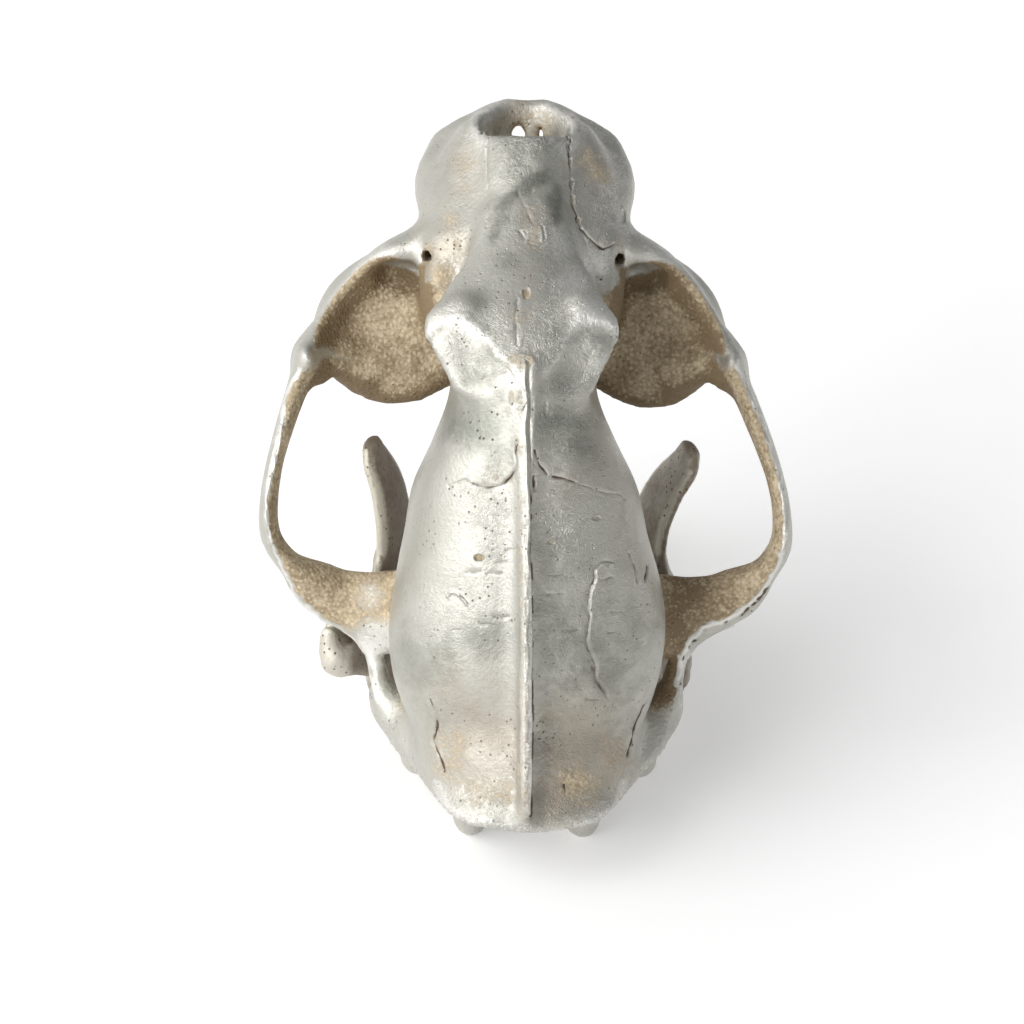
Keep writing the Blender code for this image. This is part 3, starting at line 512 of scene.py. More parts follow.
def lattice_noise(points, size, seed):
    """Smooth random hills, about as wide as size, between -1 and 1."""
    values = np.random.default_rng(seed).uniform(-1, 1, (32, 32, 32))
    spot = points / size + 16
    cell = np.floor(spot).astype(int)
    part = spot - cell
    part = part * part * (3 - 2 * part)
    total = np.zeros(len(points))
    for corner in np.ndindex(2, 2, 2):
        weight = np.prod(np.where(corner, part, 1 - part), axis=1)
        total += weight * values[tuple(((cell + corner) % 32).T)]
    return total


def mesh_from(name, points, faces):
    """A mesh from points in millimetres."""
    mesh = bpy.data.meshes.new(name)
    mesh.from_pydata(np.asarray(points).tolist(), [], np.asarray(faces).tolist())
    mesh.update()
    return mesh


def read(items, name):
    """A triple of numbers from each item of a mesh."""
    flat = np.empty(len(items) * 3)
    items.foreach_get(name, flat)
    return flat.reshape(-1, 3)


def refined(mesh, wanted, shortest):
    """Splits the edges longer than shortest where the function called wanted says so."""
    work = bmesh.new()
    work.from_mesh(mesh)
    work.edges.ensure_lookup_table()
    ends = np.array([[corner.index for corner in edge.verts] for edge in work.edges])
    points = read(mesh.vertices, "co")
    start, end = points[ends[:, 0]], points[ends[:, 1]]
    chosen = wanted((start + end) / 2) & (np.linalg.norm(end - start, axis=1) > shortest)
    picked = [work.edges[k] for k in np.flatnonzero(chosen)]
    bmesh.ops.subdivide_edges(work, edges=picked, cuts=1, use_grid_fill=True)
    work.to_mesh(mesh)
    work.free()
    mesh.update()


def keep(mesh, name, values):
    """Keeps one number for each point, for the material to read."""
    mesh.attributes.new(name, "FLOAT", "POINT").data.foreach_set("value", np.asarray(values, np.float32))


def cut_flat(mesh, through, kept_side):
    """Cuts a mesh with a plane and closes the cut. The side that kept_side points to stays."""
    work = bmesh.new()
    work.from_mesh(mesh)
    every = work.verts[:] + work.edges[:] + work.faces[:]
    cut = bmesh.ops.bisect_plane(work, geom=every, plane_co=through, plane_no=kept_side,
                                 clear_inner=True, dist=1e-7)
    rim = [item for item in cut["geom_cut"] if isinstance(item, bmesh.types.BMEdge)]
    if rim:
        filled = bmesh.ops.holes_fill(work, edges=rim, sides=0)
        bmesh.ops.triangulate(work, faces=filled["faces"])
    work.to_mesh(mesh)
    work.free()


def step_between(low, high, values):
    """0 at low, 1 at high and smooth between them. It falls where low is the greater of the two."""
    share = np.clip((values - low) / (high - low), 0, 1)
    return share * share * (3 - 2 * share)


def ridge(gap, width, at=0.0):
    """A rounded ridge: 1 where the gap is what at says, and next to nothing two widths from there."""
    return np.exp(-((gap - at) / width)**2)


def patches(places, spots):
    """How strongly each point lies in any of some round patches: x, y, z, radius and strength."""
    most = np.zeros(len(places))
    for x, y, z, radius, strength in spots:
        gap = np.linalg.norm((places - (x, y, z)) * (1, 1, 0.4), axis=1)
        most = np.maximum(most, strength * ridge(gap, radius))
    return most


DASH_RUNS = [[(x - half, y), (x + half, y + 0.2)] for x, y, half, _ in DASHES]


def seam_reach(points):
    """How near the points are to the marks on top of the skull."""
    places = unevened(points.copy())
    near = np.full(len(points), FAR)
    for run in [row[3] for row in SEAMS] + DASH_RUNS + ARCH_EDGES + [SCAR, LEDGE]:
        near = np.minimum(near, from_run(places[:, :2], run)[0])
    for x, y, half_length, half_width, _, _ in CHIPS:
        near = np.minimum(near, np.hypot(places[:, 0] - x, places[:, 1] - y) - max(half_length, half_width))
    near = np.minimum(near, from_run(places[:, :2], CREST_RUN)[0] - 0.8)
    return np.where(points[:, 2] > 15, near, FAR)


def palate_reach(points):
    """How near the points are to the marks on the underside."""
    places = unevened(points.copy())
    near = np.full(len(points), FAR)
    for _, _, _, run in PALATE_SEAMS:
        near = np.minimum(near, from_run(places[:, :2], run)[0])
    for x, y, radius in PALATE_HOLES:
        near = np.minimum(near, np.hypot(np.abs(places[:, 0]) - x, places[:, 1] - y) - radius)
    return np.where(points[:, 2] < 15, near, FAR)


# Where brown bone and dark stains show through the silver on top of the skull: x, y, z, radius and strength.
TAN_PATCHES = [
    (17, 129, 30, 6, 0.5), (21, 124, 27, 7, 0.6), (22, 117, 27, 6, 0.4), (-17, 128, 32, 7, 0.4),
    (-18, 119, 34, 6, 0.35), (-22, 110, 30, 10, 0.45), (-27, 124, 14, 6, 0.3), (27, 112, 20, 7, 0.3),
    (0.5, 113, 52, 4.5, 0.45), (2, 105, 56, 4.5, 0.4), (-2.5, 80, 72, 3, 0.45), (0, 88, 68, 2, 0.8),
    (-8, 148, 8, 8, 0.2), (8, 148, 8, 8, 0.25), (0, 143, 12, 9, 0.5), (-14, 136, 20, 8, 0.3),
    (-2, 68.5, 77, 4, 0.5), (-10, 34, 74, 6, 0.4), (10, 35.5, 74, 5, 0.35), (-22, -42, 54, 10, 0.5),
    (-14, -56, 58, 9, 0.45), (16, -55, 57, 8, 0.5), (25, -44, 50, 8, 0.5), (-26, -3, 62, 3, 0.4),
    (27, 104, 36, 4, 0.5), (-28, 103, 36, 4, 0.5), (0, 141, 14, 9, 0.45),
    (-26, 94, 36, 6, 0.7), (-29, 88, 34, 6, 0.7), (27, 93, 36, 5, 0.5)]
SLATE_PATCHES = [
    (-6, 134, 41, 9, 0.75), (4, 134, 42, 8, 0.65), (10, 134, 40, 6, 0.5), (-6, 124, 44, 8, 0.5),
    (-22, 122, 24, 10, 0.45), (-14, 66, 76, 9, 0.6), (-30, -18, 55, 14, 0.6), (16, -16, 66, 14, 0.7),
    (-20, -34, 58, 14, 0.45), (14, -42, 60, 18, 0.75), (0, -62, 52, 18, 0.5), (22, 60, 74, 8, 0.5),
    (-6, 97, 61, 6, 0.5), (-12, 88, 64, 6, 0.35), (-3, 86, 67, 5, 0.35),
    (9, 60, 76, 6, 0.5), (8, 51, 76, 8, 0.8), (16, 46, 76, 9, 0.7), (-14, 49, 75, 10, 1),
    (-8, 42, 75, 8, 0.7), (-21, 52, 68, 8, 0.7), (-11, -10, 67, 9, 0.75), (9, 12, 72, 13, 0.55),
    (10, -8, 68, 14, 0.7), (20, -4, 62, 12, 0.5), (-22, -14, 62, 8, 0.6), (12, 24, 73, 12, 0.4),
    (10, -24, 66, 12, 0.6), (24, -22, 60, 12, 0.7), (30, -10, 54, 12, 0.6), (8, 76, 72, 8, 0.3),
    (28, -34, 48, 10, 0.5)]
# Slate streaks: half width, strength and run.
SLATE_STREAKS = [(3.2, 0.8, [(-9.5, 104), (-8.2, 109), (-6, 114), (-2.4, 118), (1.5, 121), (5.5, 123)]),
                 (2.6, 0.8, [(9.6, 119), (9, 115), (8.5, 111)]), (5, 0.35, [(-4, 108), (4, 100), (8, 94)])]
# Where the rub has left the bone palest, and painted light on the front of the snout and on the lit left root
# of the cheek arch.
PEARL_AND_HIGHLIGHT_PATCHES = [(12, 92, 64, 9, 0.85), (19, 83, 66, 8, 0.8), (10, 102, 56, 8, 0.7), (-46, 1, 26, 8, 0.7),
                 (-43, -12, 24, 8, 0.8), (-20, 80, 68, 6, 0.5), (21, 119, 27, 9, 0.5), (-9, 148, 8, 8, 0.8),
                 (8, 148, 8, 8, 0.5), (15, 97, 58, 10, 0.5)]
# Where a warm, dry cream or taupe lies over the silver.
WARM_PATCHES = [
    (-12, -40, 62, 20, 0.8), (-22, -28, 58, 14, 0.6), (-10, -24, 66, 12, 0.5), (14, -40, 60, 18, 0.9),
    (8, -56, 58, 12, 0.9), (24, -48, 50, 12, 0.8), (-4, 34, 75, 9, 0.35), (12, 33, 74, 9, 0.5),
    (-17, 128, 32, 9, 0.7), (-18, 118, 34, 9, 0.6), (-22, 106, 30, 12, 0.5), (20, 126, 28, 8, 0.9),
    (21, 116, 30, 8, 0.6), (1, 110, 52, 5, 0.8), (2.5, 103, 57, 4, 0.7), (0, 92, 65, 5, 0.5),
    (-1.5, 81, 71, 4, 0.7), (-33, 14, 55, 16, 0.4), (0, 148, 8, 16, 0.6), (60, 8, 26, 16, 0.4),
    (-46, 0, 26, 10, 0.6), (-43, -13, 24, 9, 0.5), (-23, 101, 36, 10, 0.9), (-30, 107, 25, 8, 0.6)]

CRANIUM_CELL = 1.5
clay = cranium_clay(CRANIUM_CELL)
points, faces = skin(clay)
mesh = mesh_from("cranium_bone", relaxed(points, faces), faces)
# The skin is made finer in three steps, each nearer to the marks than the last.
refined(mesh, lambda spots: (seam_reach(spots) < 1.05) | (palate_reach(spots) < 0.7), 0.9)
refined(mesh, lambda spots: (seam_reach(spots) < 0.75) | (palate_reach(spots) < 0.3), 0.5)
refined(mesh, lambda spots: (seam_reach(spots) < 0.4) & (spots[:, 2] > 36), 0.34)
points, normals = read(mesh.vertices, "co"), read(mesh.vertex_normals, "vector")
places = unevened(points.copy())
from_middle = np.abs(points[:, 0])
outward = np.sign(points[:, 0]) * normals[:, 0]
wobble = np.stack((lattice_noise(places, 2.2, 11), lattice_noise(places, 2.2, 12)), axis=1)
spots = places[:, :2] + 0.35 * wobble
upward = step_between(0.1, 0.4, normals[:, 2]) * step_between(10, 24, places[:, 2])
downward = step_between(0.2, 0.5, -normals[:, 2]) * step_between(15, 11, places[:, 2])

# lift is how far each point of the skin is moved outwards. It starts as the slight unevenness of bone.
lift = 0.18 * lattice_noise(places, 14, 1) + 0.07 * lattice_noise(places, 5, 2)
lift += 0.03 * lattice_noise(places, 2, 3)

# The seams and cracks. They are deeper and wider in some places than in others.
crack_and_shade = np.zeros(len(points))
uneven_depth = np.clip(0.75 + 0.8 * lattice_noise(places, 2.4, 8), 0.1, 1.3)
uneven_width = np.clip(0.9 + 0.5 * lattice_noise(places, 1.8, 9), 0.5, 1.4)
for marks, facing in ((SEAMS, upward), (PALATE_SEAMS, downward)):
    for depth, width, lip, run in marks:
        gap, _ = from_run(spots, run)
        groove = ridge(gap, width * uneven_width) * uneven_depth
        lift += facing * (lip * ridge(gap, width, 2.4 * width) - depth * groove)
        crack_and_shade = np.maximum(crack_and_shade, facing * groove * min(2 * depth, 1.3))
for x, y, radius in PALATE_HOLES:
    out = np.hypot(np.abs(places[:, 0]) - x, places[:, 1] - y)
    hole = downward * step_between(radius, 0.4 * radius, out)
    lift -= 1.2 * radius * hole
    crack_and_shade = np.maximum(crack_and_shade, hole)

# The chips, each with a low rim round it, and the dashes across the braincase.
chipped = np.zeros(len(points))
for x, y, half_length, half_width, height, brown in CHIPS:
    out = np.hypot((places[:, 0] - x) / half_length, (places[:, 1] - y) / half_width)
    out = out + 0.25 * lattice_noise(places, 1.6, 10) * (out < 3)
    inside = step_between(1.1, 0.8, out)
    rim = ridge((out - 1.15) * min(half_length, half_width), 0.4)
    lift += upward * (height * inside + (0.12 if height > 0 else 0.03) * rim)
    chipped = np.maximum(chipped, upward * inside * brown)
    crack_and_shade = np.maximum(crack_and_shade, 0.5 * upward * rim * step_between(0, 0.5, lattice_noise(places, 2.5, 13)))
for (_, _, _, depth), run in zip(DASHES, DASH_RUNS):
    gap, _ = from_run(spots, run)
    groove = ridge(gap, 0.32 * uneven_width)
    lift += upward * (0.05 * ridge(gap, 0.35, 0.8) - 0.8 * depth * groove * uneven_depth)
    crack_and_shade = np.maximum(crack_and_shade, 0.5 * upward * groove * uneven_depth)

# The scar, and the ledge: raised on its outer side, with a crack along its inner side darkened as painted
# shadow, and a bright lip that is a painted highlight.
gap, _ = from_run(spots, SCAR)
lift += upward * (0.3 * ridge(gap, 0.35) - 0.2 * ridge(gap, 0.4, 0.8))
gap, side = from_run(spots + 0.3 * wobble, LEDGE)
across = gap * side
raised = np.where(side > 0, np.exp(-gap / 5), 0) * step_between(0, 0.5, gap)
lift += upward * (0.3 * raised + 0.15 * ridge(across, 0.25, 0.3) - 0.35 * ridge(across, 0.3, -0.3))
crack_and_shade = np.maximum(crack_and_shade, 0.7 * upward * uneven_depth * ridge(across, 0.25, -0.35))
bright = 0.8 * upward * ridge(across, 0.3, 0.25)

# The temple lines, with the bone sunk behind them.
brow = np.zeros(len(points))
for run, forward in zip(TEMPLE_LINES, (-1, 1)):
    gap, side = from_run(spots, run, 14)
    drop = np.where(side * forward > 0, step_between(0, 3, gap) * np.exp(-gap / 7), 0)
    lift += upward * (0.45 * ridge(gap, 1.1) - 1.2 * drop)
    brow = np.maximum(brow, ridge(gap, 1.4))

# The thin top of the crest, a low second ridge to its left, and broken dark dashes of painted shadow in a
# groove to its right, with a painted highlight along its lit left side.
gap, side = from_run(places[:, :2] + 0.35 * lattice_noise(places, 7, 14)[:, None], CREST_RUN)
back = step_between(60, 30, places[:, 1])
across = gap * side
lift += upward * (0.72 * ridge(gap, 0.5) * (0.5 + 0.5 * back)
                  + 0.3 * back * np.where(side < 0, ridge(gap, 1.6, 1.4), 0) - 0.45 * ridge(across, 0.6, 1.2))
# The dark dashes are painted shadow on the crest's shaded right side.
broken = step_between(-0.4, 0.3, lattice_noise(places, 2.4, 5))
crack_and_shade = np.maximum(crack_and_shade, 0.9 * upward * back * ridge(across, 0.45, 1.1) * broken)
# Painted highlight along the crest's lit left side.
bright = np.maximum(bright, upward * back * ridge(across, 0.5, -0.1))
cream = upward * step_between(66, 56, places[:, 1]) * np.where(side < 0, ridge(gap, 1.3, 2.2), 0)

# The rough bone: the rear edges of the eye sockets, and the patches at the back of the head.
ROUGH_PATCHES = [(-22, -48, 50, 8, 0.8), (-8, -57, 61, 7, 0.6), (14, -52, 56, 9, 0.9), (26, -45, 48, 8, 0.8)]
rough = np.zeros(len(points))
for run in EYE_RIMS:
    gap, _ = from_run(spots, run)
    rough = np.maximum(rough, ridge(gap, 3.5) * step_between(32, 26, places[:, 2]))
rough = np.maximum(rough, patches(places, ROUGH_PATCHES))
lift += rough * (0.35 * lattice_noise(places, 2.6, 6) + 0.15 * lattice_noise(places, 1.4, 7))

# The cheek arches: a little thinner at the very outside, with brown bone on the inside, a bright
# beaded edge, and small holes outside its rear.
lift -= 0.38 * step_between(66, 75, from_middle)
arch_tan = np.zeros(len(points))
arch_part = step_between(34, 40, from_middle) * step_between(72, 64, places[:, 1]) * (places[:, 2] > 4)
arch_part *= 1 - step_between(30, 38, places[:, 2]) * step_between(50, 42, from_middle)
for run, inward, fade in zip(ARCH_EDGES, (1, -1), (-12, -32)):
    gap, side = from_run(spots + 0.2 * wobble, run, 60)
    across = gap * side * inward
    mine = arch_part * (np.sign(places[:, 0]) == -inward)
    within = np.where(side * inward > 0, step_between(0.4, 1.2, gap), 0)
    within *= step_between(-0.5, 0.1, normals[:, 2])
    arch_tan = np.maximum(arch_tan, mine * np.maximum(within, step_between(0.2, 0.7, -outward)))
    # The brown stops sooner on the lit left arch; on the right it reaches further back as painted shade.
    arch_tan *= 1 - mine * step_between(fade + 8, fade - 8, places[:, 1])
    line = mine * step_between(-0.2, 0.3, normals[:, 2])
    rear = line * step_between(9, 3, places[:, 1])
    holes = rear * ridge(across, 0.5, -0.8) * step_between(0.1, 0.5, lattice_noise(places, 1.6, 16))
    lift += line * 0.2 * ridge(gap, 0.5) * (1 + 0.5 * lattice_noise(places, 3, 15))
    lift += rear * 0.3 * ridge(across, 0.6, -1.5) - 0.5 * holes
    bright = np.maximum(bright, line * ridge(gap, 0.7))
    crack_and_shade = np.maximum(crack_and_shade, holes)

# The brown inside of the eye sockets: the hollow, the floor that reaches out of it, and the shelf behind.
low = step_between(106, 98, points[:, 1]) * step_between(8, 14, places[:, 2])
low *= step_between(14, 20, from_middle) * step_between(66, 60, from_middle)
bowl = step_between(2.4, 0.2, ellipsoid(*EYE_SOCKET)[2](from_middle, points[:, 1], points[:, 2]))
bowl *= step_between(46, 36, places[:, 2])
round_it = np.hypot((from_middle - 41) / 23, (points[:, 1] - 79) / 24) + 0.06 * lattice_noise(places, 4, 17)
round_it += 0.2 * step_between(78, 96, points[:, 1])
floor_of_it = step_between(1.08, 0.88, round_it) * step_between(60, 46, places[:, 2])
floor_of_it *= step_between(48, 42, from_middle)
shelf = step_between(74, 68, places[:, 1]) * step_between(34, 28, places[:, 2])
shelf *= step_between(50, 56, places[:, 1])
socket = np.maximum(bowl, np.maximum(shelf, floor_of_it)) * low

# The pale raised rim at the back of the head, and the nose, which is a little lower at its end.
gap, _ = from_run(spots, NECK_RIM)
band = step_between(2.4, 1.0, gap) * step_between(-0.3, 0.3, normals[:, 2])
lift += 0.2 * band
bright = np.maximum(bright, 0.7 * band)
lift -= 0.3 * step_between(131, 135, places[:, 1]) * step_between(33, 37, places[:, 2])

# What the material reads: how deep each point lies, how much painted shade it has, how far it stands out
# with painted highlights added, and how cracked with painted shadow added, brown, slate and warm it is.
# Painted shade: under the front rims of the eye sockets, and round the cheek roots, most on the right, away
# from the light.
SHADE_PATCHES = [(-33.5, 96, 16, 5, 1), (33.5, 96, 16, 6, 1), (42, -8, 22, 7, 0.8), (50, 0, 26, 11, 0.45),
                 (40, -25, 16, 9, 0.8), (-41, -26, 14, 6, 0.6)]
# Painted light: the brown is taken off the lit left root of the cheek arch.
PAINTED_LIGHT_PATCHES = [(-46, 1, 26, 7, 0.6), (-43, -12, 24, 8, 0.9)]
# Painted shade on the steep walls of the eye sockets, and in the patches above.
shade = socket * step_between(0.95, 0.45, normals[:, 2])
shade = np.maximum(shade, patches(places, SHADE_PATCHES))
tan = np.maximum(patches(places, TAN_PATCHES), np.maximum(0.95 * arch_tan, socket))
tan = np.maximum(tan, np.maximum(0.7 * rough, np.maximum(chipped, 0.4 * cream)))
# The pale neck rim is rubbed clean of brown, and the lit left root of the cheek arch loses its brown as
# painted light.
tan *= 1 - np.maximum(band, patches(places, PAINTED_LIGHT_PATCHES))
slate = patches(places, SLATE_PATCHES)
for width, strength, run in SLATE_STREAKS:
    gap, _ = from_run(spots + wobble, run)
    slate = np.maximum(slate, strength * upward * ridge(gap, width))
warm = patches(places, WARM_PATCHES)
hollow = np.zeros(len(points))
for reach in (4, 9, 18):
    hollow += (1 - np.clip(clay.at(points + normals * reach) / reach, -1, 1)) / 3
edge = np.clip(1 + clay.at(points - normals * 3) / 3, 0, 1)
# Painted highlights join the pale of thin bone: the crest's lit left side, the ledge lip, and some of the
# pale patches.
edge = np.maximum(edge, np.maximum(bright, 0.8 * brow * upward)) + patches(places, PEARL_AND_HIGHLIGHT_PATCHES)
for name, values in (("hollow", hollow), ("shade", shade), ("edge", edge), ("crack_and_shade", crack_and_shade), ("tan", tan),
                     ("slate", slate), ("warm", warm)):
    keep(mesh, name, values)
mesh.vertices.foreach_set("co", standing(unevened(points + normals * lift[:, None])).ravel())
mesh.update()
cut_flat(mesh, (0, 0, 0), (0, 0, 1))
mesh.shade_smooth()
cranium = bpy.data.objects.new("cranium_bone", mesh)
bpy.context.scene.collection.objects.link(cranium)


class Paint:
    """A socket of a material. Arithmetic on it adds Math nodes, and node() adds any other node."""

    def __init__(self, tree, socket=None):
        self.tree = tree
        self.socket = socket

    def node(self, kind, settings=None, inputs=None, output=0):
        made = self.tree.nodes.new("ShaderNode" + kind)
        for name, value in (settings or {}).items():
            setattr(made, name, value)
        for name, value in (inputs or {}).items():
            if isinstance(value, Paint):
                self.tree.links.new(value.socket, made.inputs[name])
            else:
                made.inputs[name].default_value = value
        return Paint(self.tree, made.outputs[output])

    def math(self, operation, first, second):
        return self.node("Math", {"operation": operation}, {0: first, 1: second})

    def __add__(self, other):
        return self.math("ADD", self, other)

    def __sub__(self, other):
        return self.math("SUBTRACT", self, other)

    def __rsub__(self, other):
        return self.math("SUBTRACT", other, self)

    def __mul__(self, other):
        return self.math("MULTIPLY", self, other)

    __radd__ = __add__
    __rmul__ = __mul__

    def between(self, low, high):
        """0 below low, 1 above high, and smooth between them."""
        return self.node("MapRange", {"interpolation_type": "SMOOTHSTEP"},
                         {"Value": self, "From Min": low, "From Max": high})

    def lines(self, width):
        """Thin lines, 1 at their middle, where this noise passes through its middle value."""
        return 1 - self.math("ABSOLUTE", self - 0.5, 0.0).between(0, width)

    def mixed(self, first, second):
        """The first colour where this is 0, and the second where it is 1."""
        return self.node("Mix", {"data_type": "RGBA"}, {0: self, 6: first, 7: second}, 2)

    def noise(self, scale, detail=3.0, rough=0.5):
        """Noise at this place, with that many waves in a millimetre."""
        return self.node("TexNoise", {}, {"Vector": self, "Scale": scale, "Detail": detail,
                                          "Roughness": rough})

    def stretched(self, x, y, z):
        return self.node("VectorMath", {"operation": "MULTIPLY"}, {0: self, 1: (x, y, z)})

    def pits(self, scale, low, high):
        """Small round pits, 1 at their middle, with that many in a millimetre."""
        dots = self.node("TexVoronoi", {}, {"Vector": self, "Scale": scale, "Randomness": 1.0}, "Distance")
        return 1 - dots.between(low, high)

    def kept(self, name):
        """The number that the mesh keeps under this name."""
        return self.node("Attribute", {"attribute_name": name}, output="Fac")


def bone_material(name):
    """A Principled material, its shader, and the place on it in the skull's frame, in millimetres."""
    made = bpy.data.materials.new(name)
    made.use_nodes = True
    tree = made.node_tree
    turn = Matrix.Rotation(math.radians(-PITCH_DEG), 3, "X")
    here = Paint(tree).node("TexCoord", output="Object")
    place = here.node("Mapping", {}, {"Vector": here, "Scale": (1000, 1000, 1000),
                                      "Rotation": (math.radians(-PITCH_DEG), 0, 0),
                                      "Location": -(turn @ Vector(STANCE))})
    return made, tree.nodes["Principled BSDF"], place


def feed(shader, name, value):
    value.tree.links.new(value.socket, shader.inputs[name])


SILVER = (0.52, 0.51, 0.46, 1)
PEARL = (0.78, 0.765, 0.72, 1)
SLATE = (0.215, 0.22, 0.19, 1)
TAN = (0.245, 0.175, 0.097, 1)
PALE_TAN = (0.65, 0.54, 0.375, 1)
WARM = (0.42, 0.37, 0.305, 1)
BROWN = (0.12, 0.08, 0.05, 1)

finish, shader, place = bone_material("silvery bone")
hollow, edge, crack_and_shade, tan, slate, warm, shade = (
    place.kept(name) for name in ("hollow", "edge", "crack_and_shade", "tan", "slate", "warm", "shade"))
cloud = place.noise(0.12, 5, 0.65)
speck = place.noise(0.8, 5, 0.65)
mottled = (cloud - 0.5) * 0.9 + (speck - 0.5) * 0.3
# The hairlines that the rub has left. They wind, and there are more of them on the skull's right side.
wander = place.node("TexNoise", {}, {"Vector": place, "Scale": 0.12, "Detail": 2.0}, "Color")
bent = place.node("VectorMath", {"operation": "MULTIPLY_ADD"}, {0: wander, 1: (18, 18, 18), 2: place})
hair = bent.stretched(0.2, 0.75, 0.2).noise(1.0, 2, 0.5).lines(0.09)
hair = hair + bent.stretched(0.7, 0.25, 0.7).noise(1.0, 2, 0.5).lines(0.07) * 0.6
fine = bent.stretched(0.9, 2.2, 0.9).noise(1.0, 2, 0.5).lines(0.07)
raked = place.node("SeparateXYZ", {}, {"Vector": place}, "X").between(-1, 8)
brushed = place.noise(0.06, 3, 0.5).between(0.42, 0.62) * 0.7 + raked * 0.4
threads = (hair * 0.3 + fine * 0.65) * brushed
# The silver, with slate stains and a warm glaze in it, and pearl on what stands out, which also carries the
# painted highlights.
tone = (slate + mottled).between(0.1, 1.1).mixed(SILVER, SLATE)
cream = (warm + mottled).between(0.1, 1.1)
tone = cream.mixed(tone, WARM)
tone = (edge - slate * 0.8 + threads + (speck - 0.5) * 0.3).between(0.4, 1.1).mixed(tone, PEARL)
# The brown bone, which is pebbled, and darker where painted shade lies on it.
brown = (tan + hollow * 0.4 + (cloud - 0.5) * 0.8 + (speck - 0.5) * 0.9).between(0.3, 0.8)
wool = place.noise(0.6, 4, 0.7).lines(0.16)
pebble = place.node("TexVoronoi", {"feature": "SMOOTH_F1"},
                    {"Vector": place, "Scale": 0.75, "Smoothness": 0.5}, "Distance")
pebble = 1 - pebble.between(0.1, 0.62)
grain = 0.4 + wool * 0.15 + pebble * 0.3 - shade * 0.75 + (cloud - 0.5) * 1.3 + (speck - 0.5) * 1.1
tone = brown.mixed(tone, grain.between(0.1, 1.0).mixed(TAN, PALE_TAN))
# The dirt in the cracks and in scattered pits, with painted shade in the shaded places and painted shadow
# beside the crest and the ledge.
pit = place.pits(0.45, 0.08, 0.18) * place.noise(0.07, 2, 0.5).between(0.46, 0.54)
dark = (crack_and_shade + pit * 0.6 + (speck - 0.5) * 0.4 + shade * 0.2).between(0.3, 0.8)
feed(shader, "Base Color", dark.mixed(tone, BROWN))
bare = (1 - brown) * (1 - dark) * (1 - cream * 0.2)
feed(shader, "Metallic", bare * 0.7 + 0.05)
feed(shader, "Roughness", 0.72 - bare * 0.33 + (speck - 0.5) * 0.14)
height = (hair * 0.08 + fine * 0.07) * (brushed + raked * 0.5) + speck * 0.45 - pit * 0.8
height = height + (wool * 0.3 + pebble * 0.8) * brown * (shade * 0.5 + 0.5)
feed(shader, "Normal", place.node("Bump", {}, {"Height": height, "Strength": 0.7, "Distance": 0.0007}))
mesh.materials.append(finish)
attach(cranium, "root")
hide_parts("cranium")

# The two halves of the lower jaw. Each is one bone, with an upright blade for the jaw muscle, a
# rolled joint and a corner behind it. They meet at the chin, and never fuse there.
GAPE_DEG = 69.0
LOWER_GUM = -14.5
CHIN_GAP = 0.3
# Each rear corner: how far out and how high it is, and how high the strut on it reaches. Each blade:
# how far out it is, from its root to its tip.
RIGHT_CORNER = (46.0, -23.5, 5.0)
RIGHT_BLADE = (36.0, 37.3, 42.0, 47.8, 49.4)
LEFT_CORNER = (58.0, -20.5, 18.0)
LEFT_BLADE = (40.0, 39.5, 41.0, 43.8, 44.8)
JAW_CELL = 1.0


def jaw_to_skull(points, side):
    """Turns a jaw half, shaped closed with its joint at 0, open by the gape and onto its side."""
    gape = math.radians(GAPE_DEG)
    x, forward, up = points.T
    y = forward * math.cos(gape) + up * math.sin(gape)
    z = JOINT_HEIGHT - forward * math.sin(gape) + up * math.cos(gape)
    return unevened(np.stack((side * x, y, z), axis=1))


def mandible_clay(cell, corner, blade):
    """The right half of the lower jaw, closed, with its joint at 0."""
    clay = Clay((-4, -32, -50), (72, 148, 52), cell)
    leaf = (-0.25, 1, 0)
    clay.add(limb([(43.5, 16, -24, 17, 4.5), (43, 18.5, -8, 13.5, 3.8), (blade[0] + 1, 18, 8, 13.5, 3.0)],
                  broad=leaf), 2)
    clay.add(limb([(blade[0], 16.5, 2, 12, 3.2), (blade[1], 16, 17, 11.5, 2.8), (blade[2], 15, 29, 10, 2.7),
                   (blade[3], 12.5, 38, 7.5, 2.6), (blade[4], 11.5, 43, 5, 2.5)],
                  broad=(-0.4, 1, 0)), 3)
    clay.add(limb([(43.5, 16, -27, 14.5, 5.5), (36, 45, -28, 13.5, 6), (27, 75, -28.5, 13.5, 6.5),
                   (19.5, 100, -29.5, 14, 7), (11.5, 118, -30, 14.5, 8), (7, 129, -26, 11, 7),
                   (6, 134, -22, 7, 6)]), 3)
    clay.add(limb([(45, 0.5, -0.5, 5, 5), (54, 0, 0, 5.2, 5.2), (61, -0.5, -0.5, 4.6, 4.6)]), 2)
    clay.add(limb([(45, 9, -5, 5.5, 4), (46, 4, -1.5, 4.5, 4)], broad=leaf), 3)
    out, low, strut = corner
    clay.add(limb([(45, 8, low - 2, 7, 4.5), ((44 + out) / 2, 0, low, 5, 4),
                   (out - 1, -3, low + 1, 4.8, 4.2), (out + 1, 2, low + strut / 2, 3, 2.6),
                   (out + 1, 3, low + strut, 2.4, 2.2)]), 2)
    clay.carve(ellipsoid((57, 18, -6), (11, 18, 16)), 3)
    if strut > 10:
        clay.add(limb([(46, 9, -12, 8.5, 3), (53, 8, -12, 9, 2.8), (out - 1, 6, -10, 8, 2.4)]), 2)
    return clay


TAUPE = (0.19, 0.145, 0.105, 1)
PALE_TAUPE = (0.31, 0.265, 0.215, 1)
DRY_BONE = (0.56, 0.53, 0.46, 1)
RUBBED_AND_LIT_BONE = (0.74, 0.70, 0.60, 1)
PIT_BROWN = (0.16, 0.11, 0.07, 1)

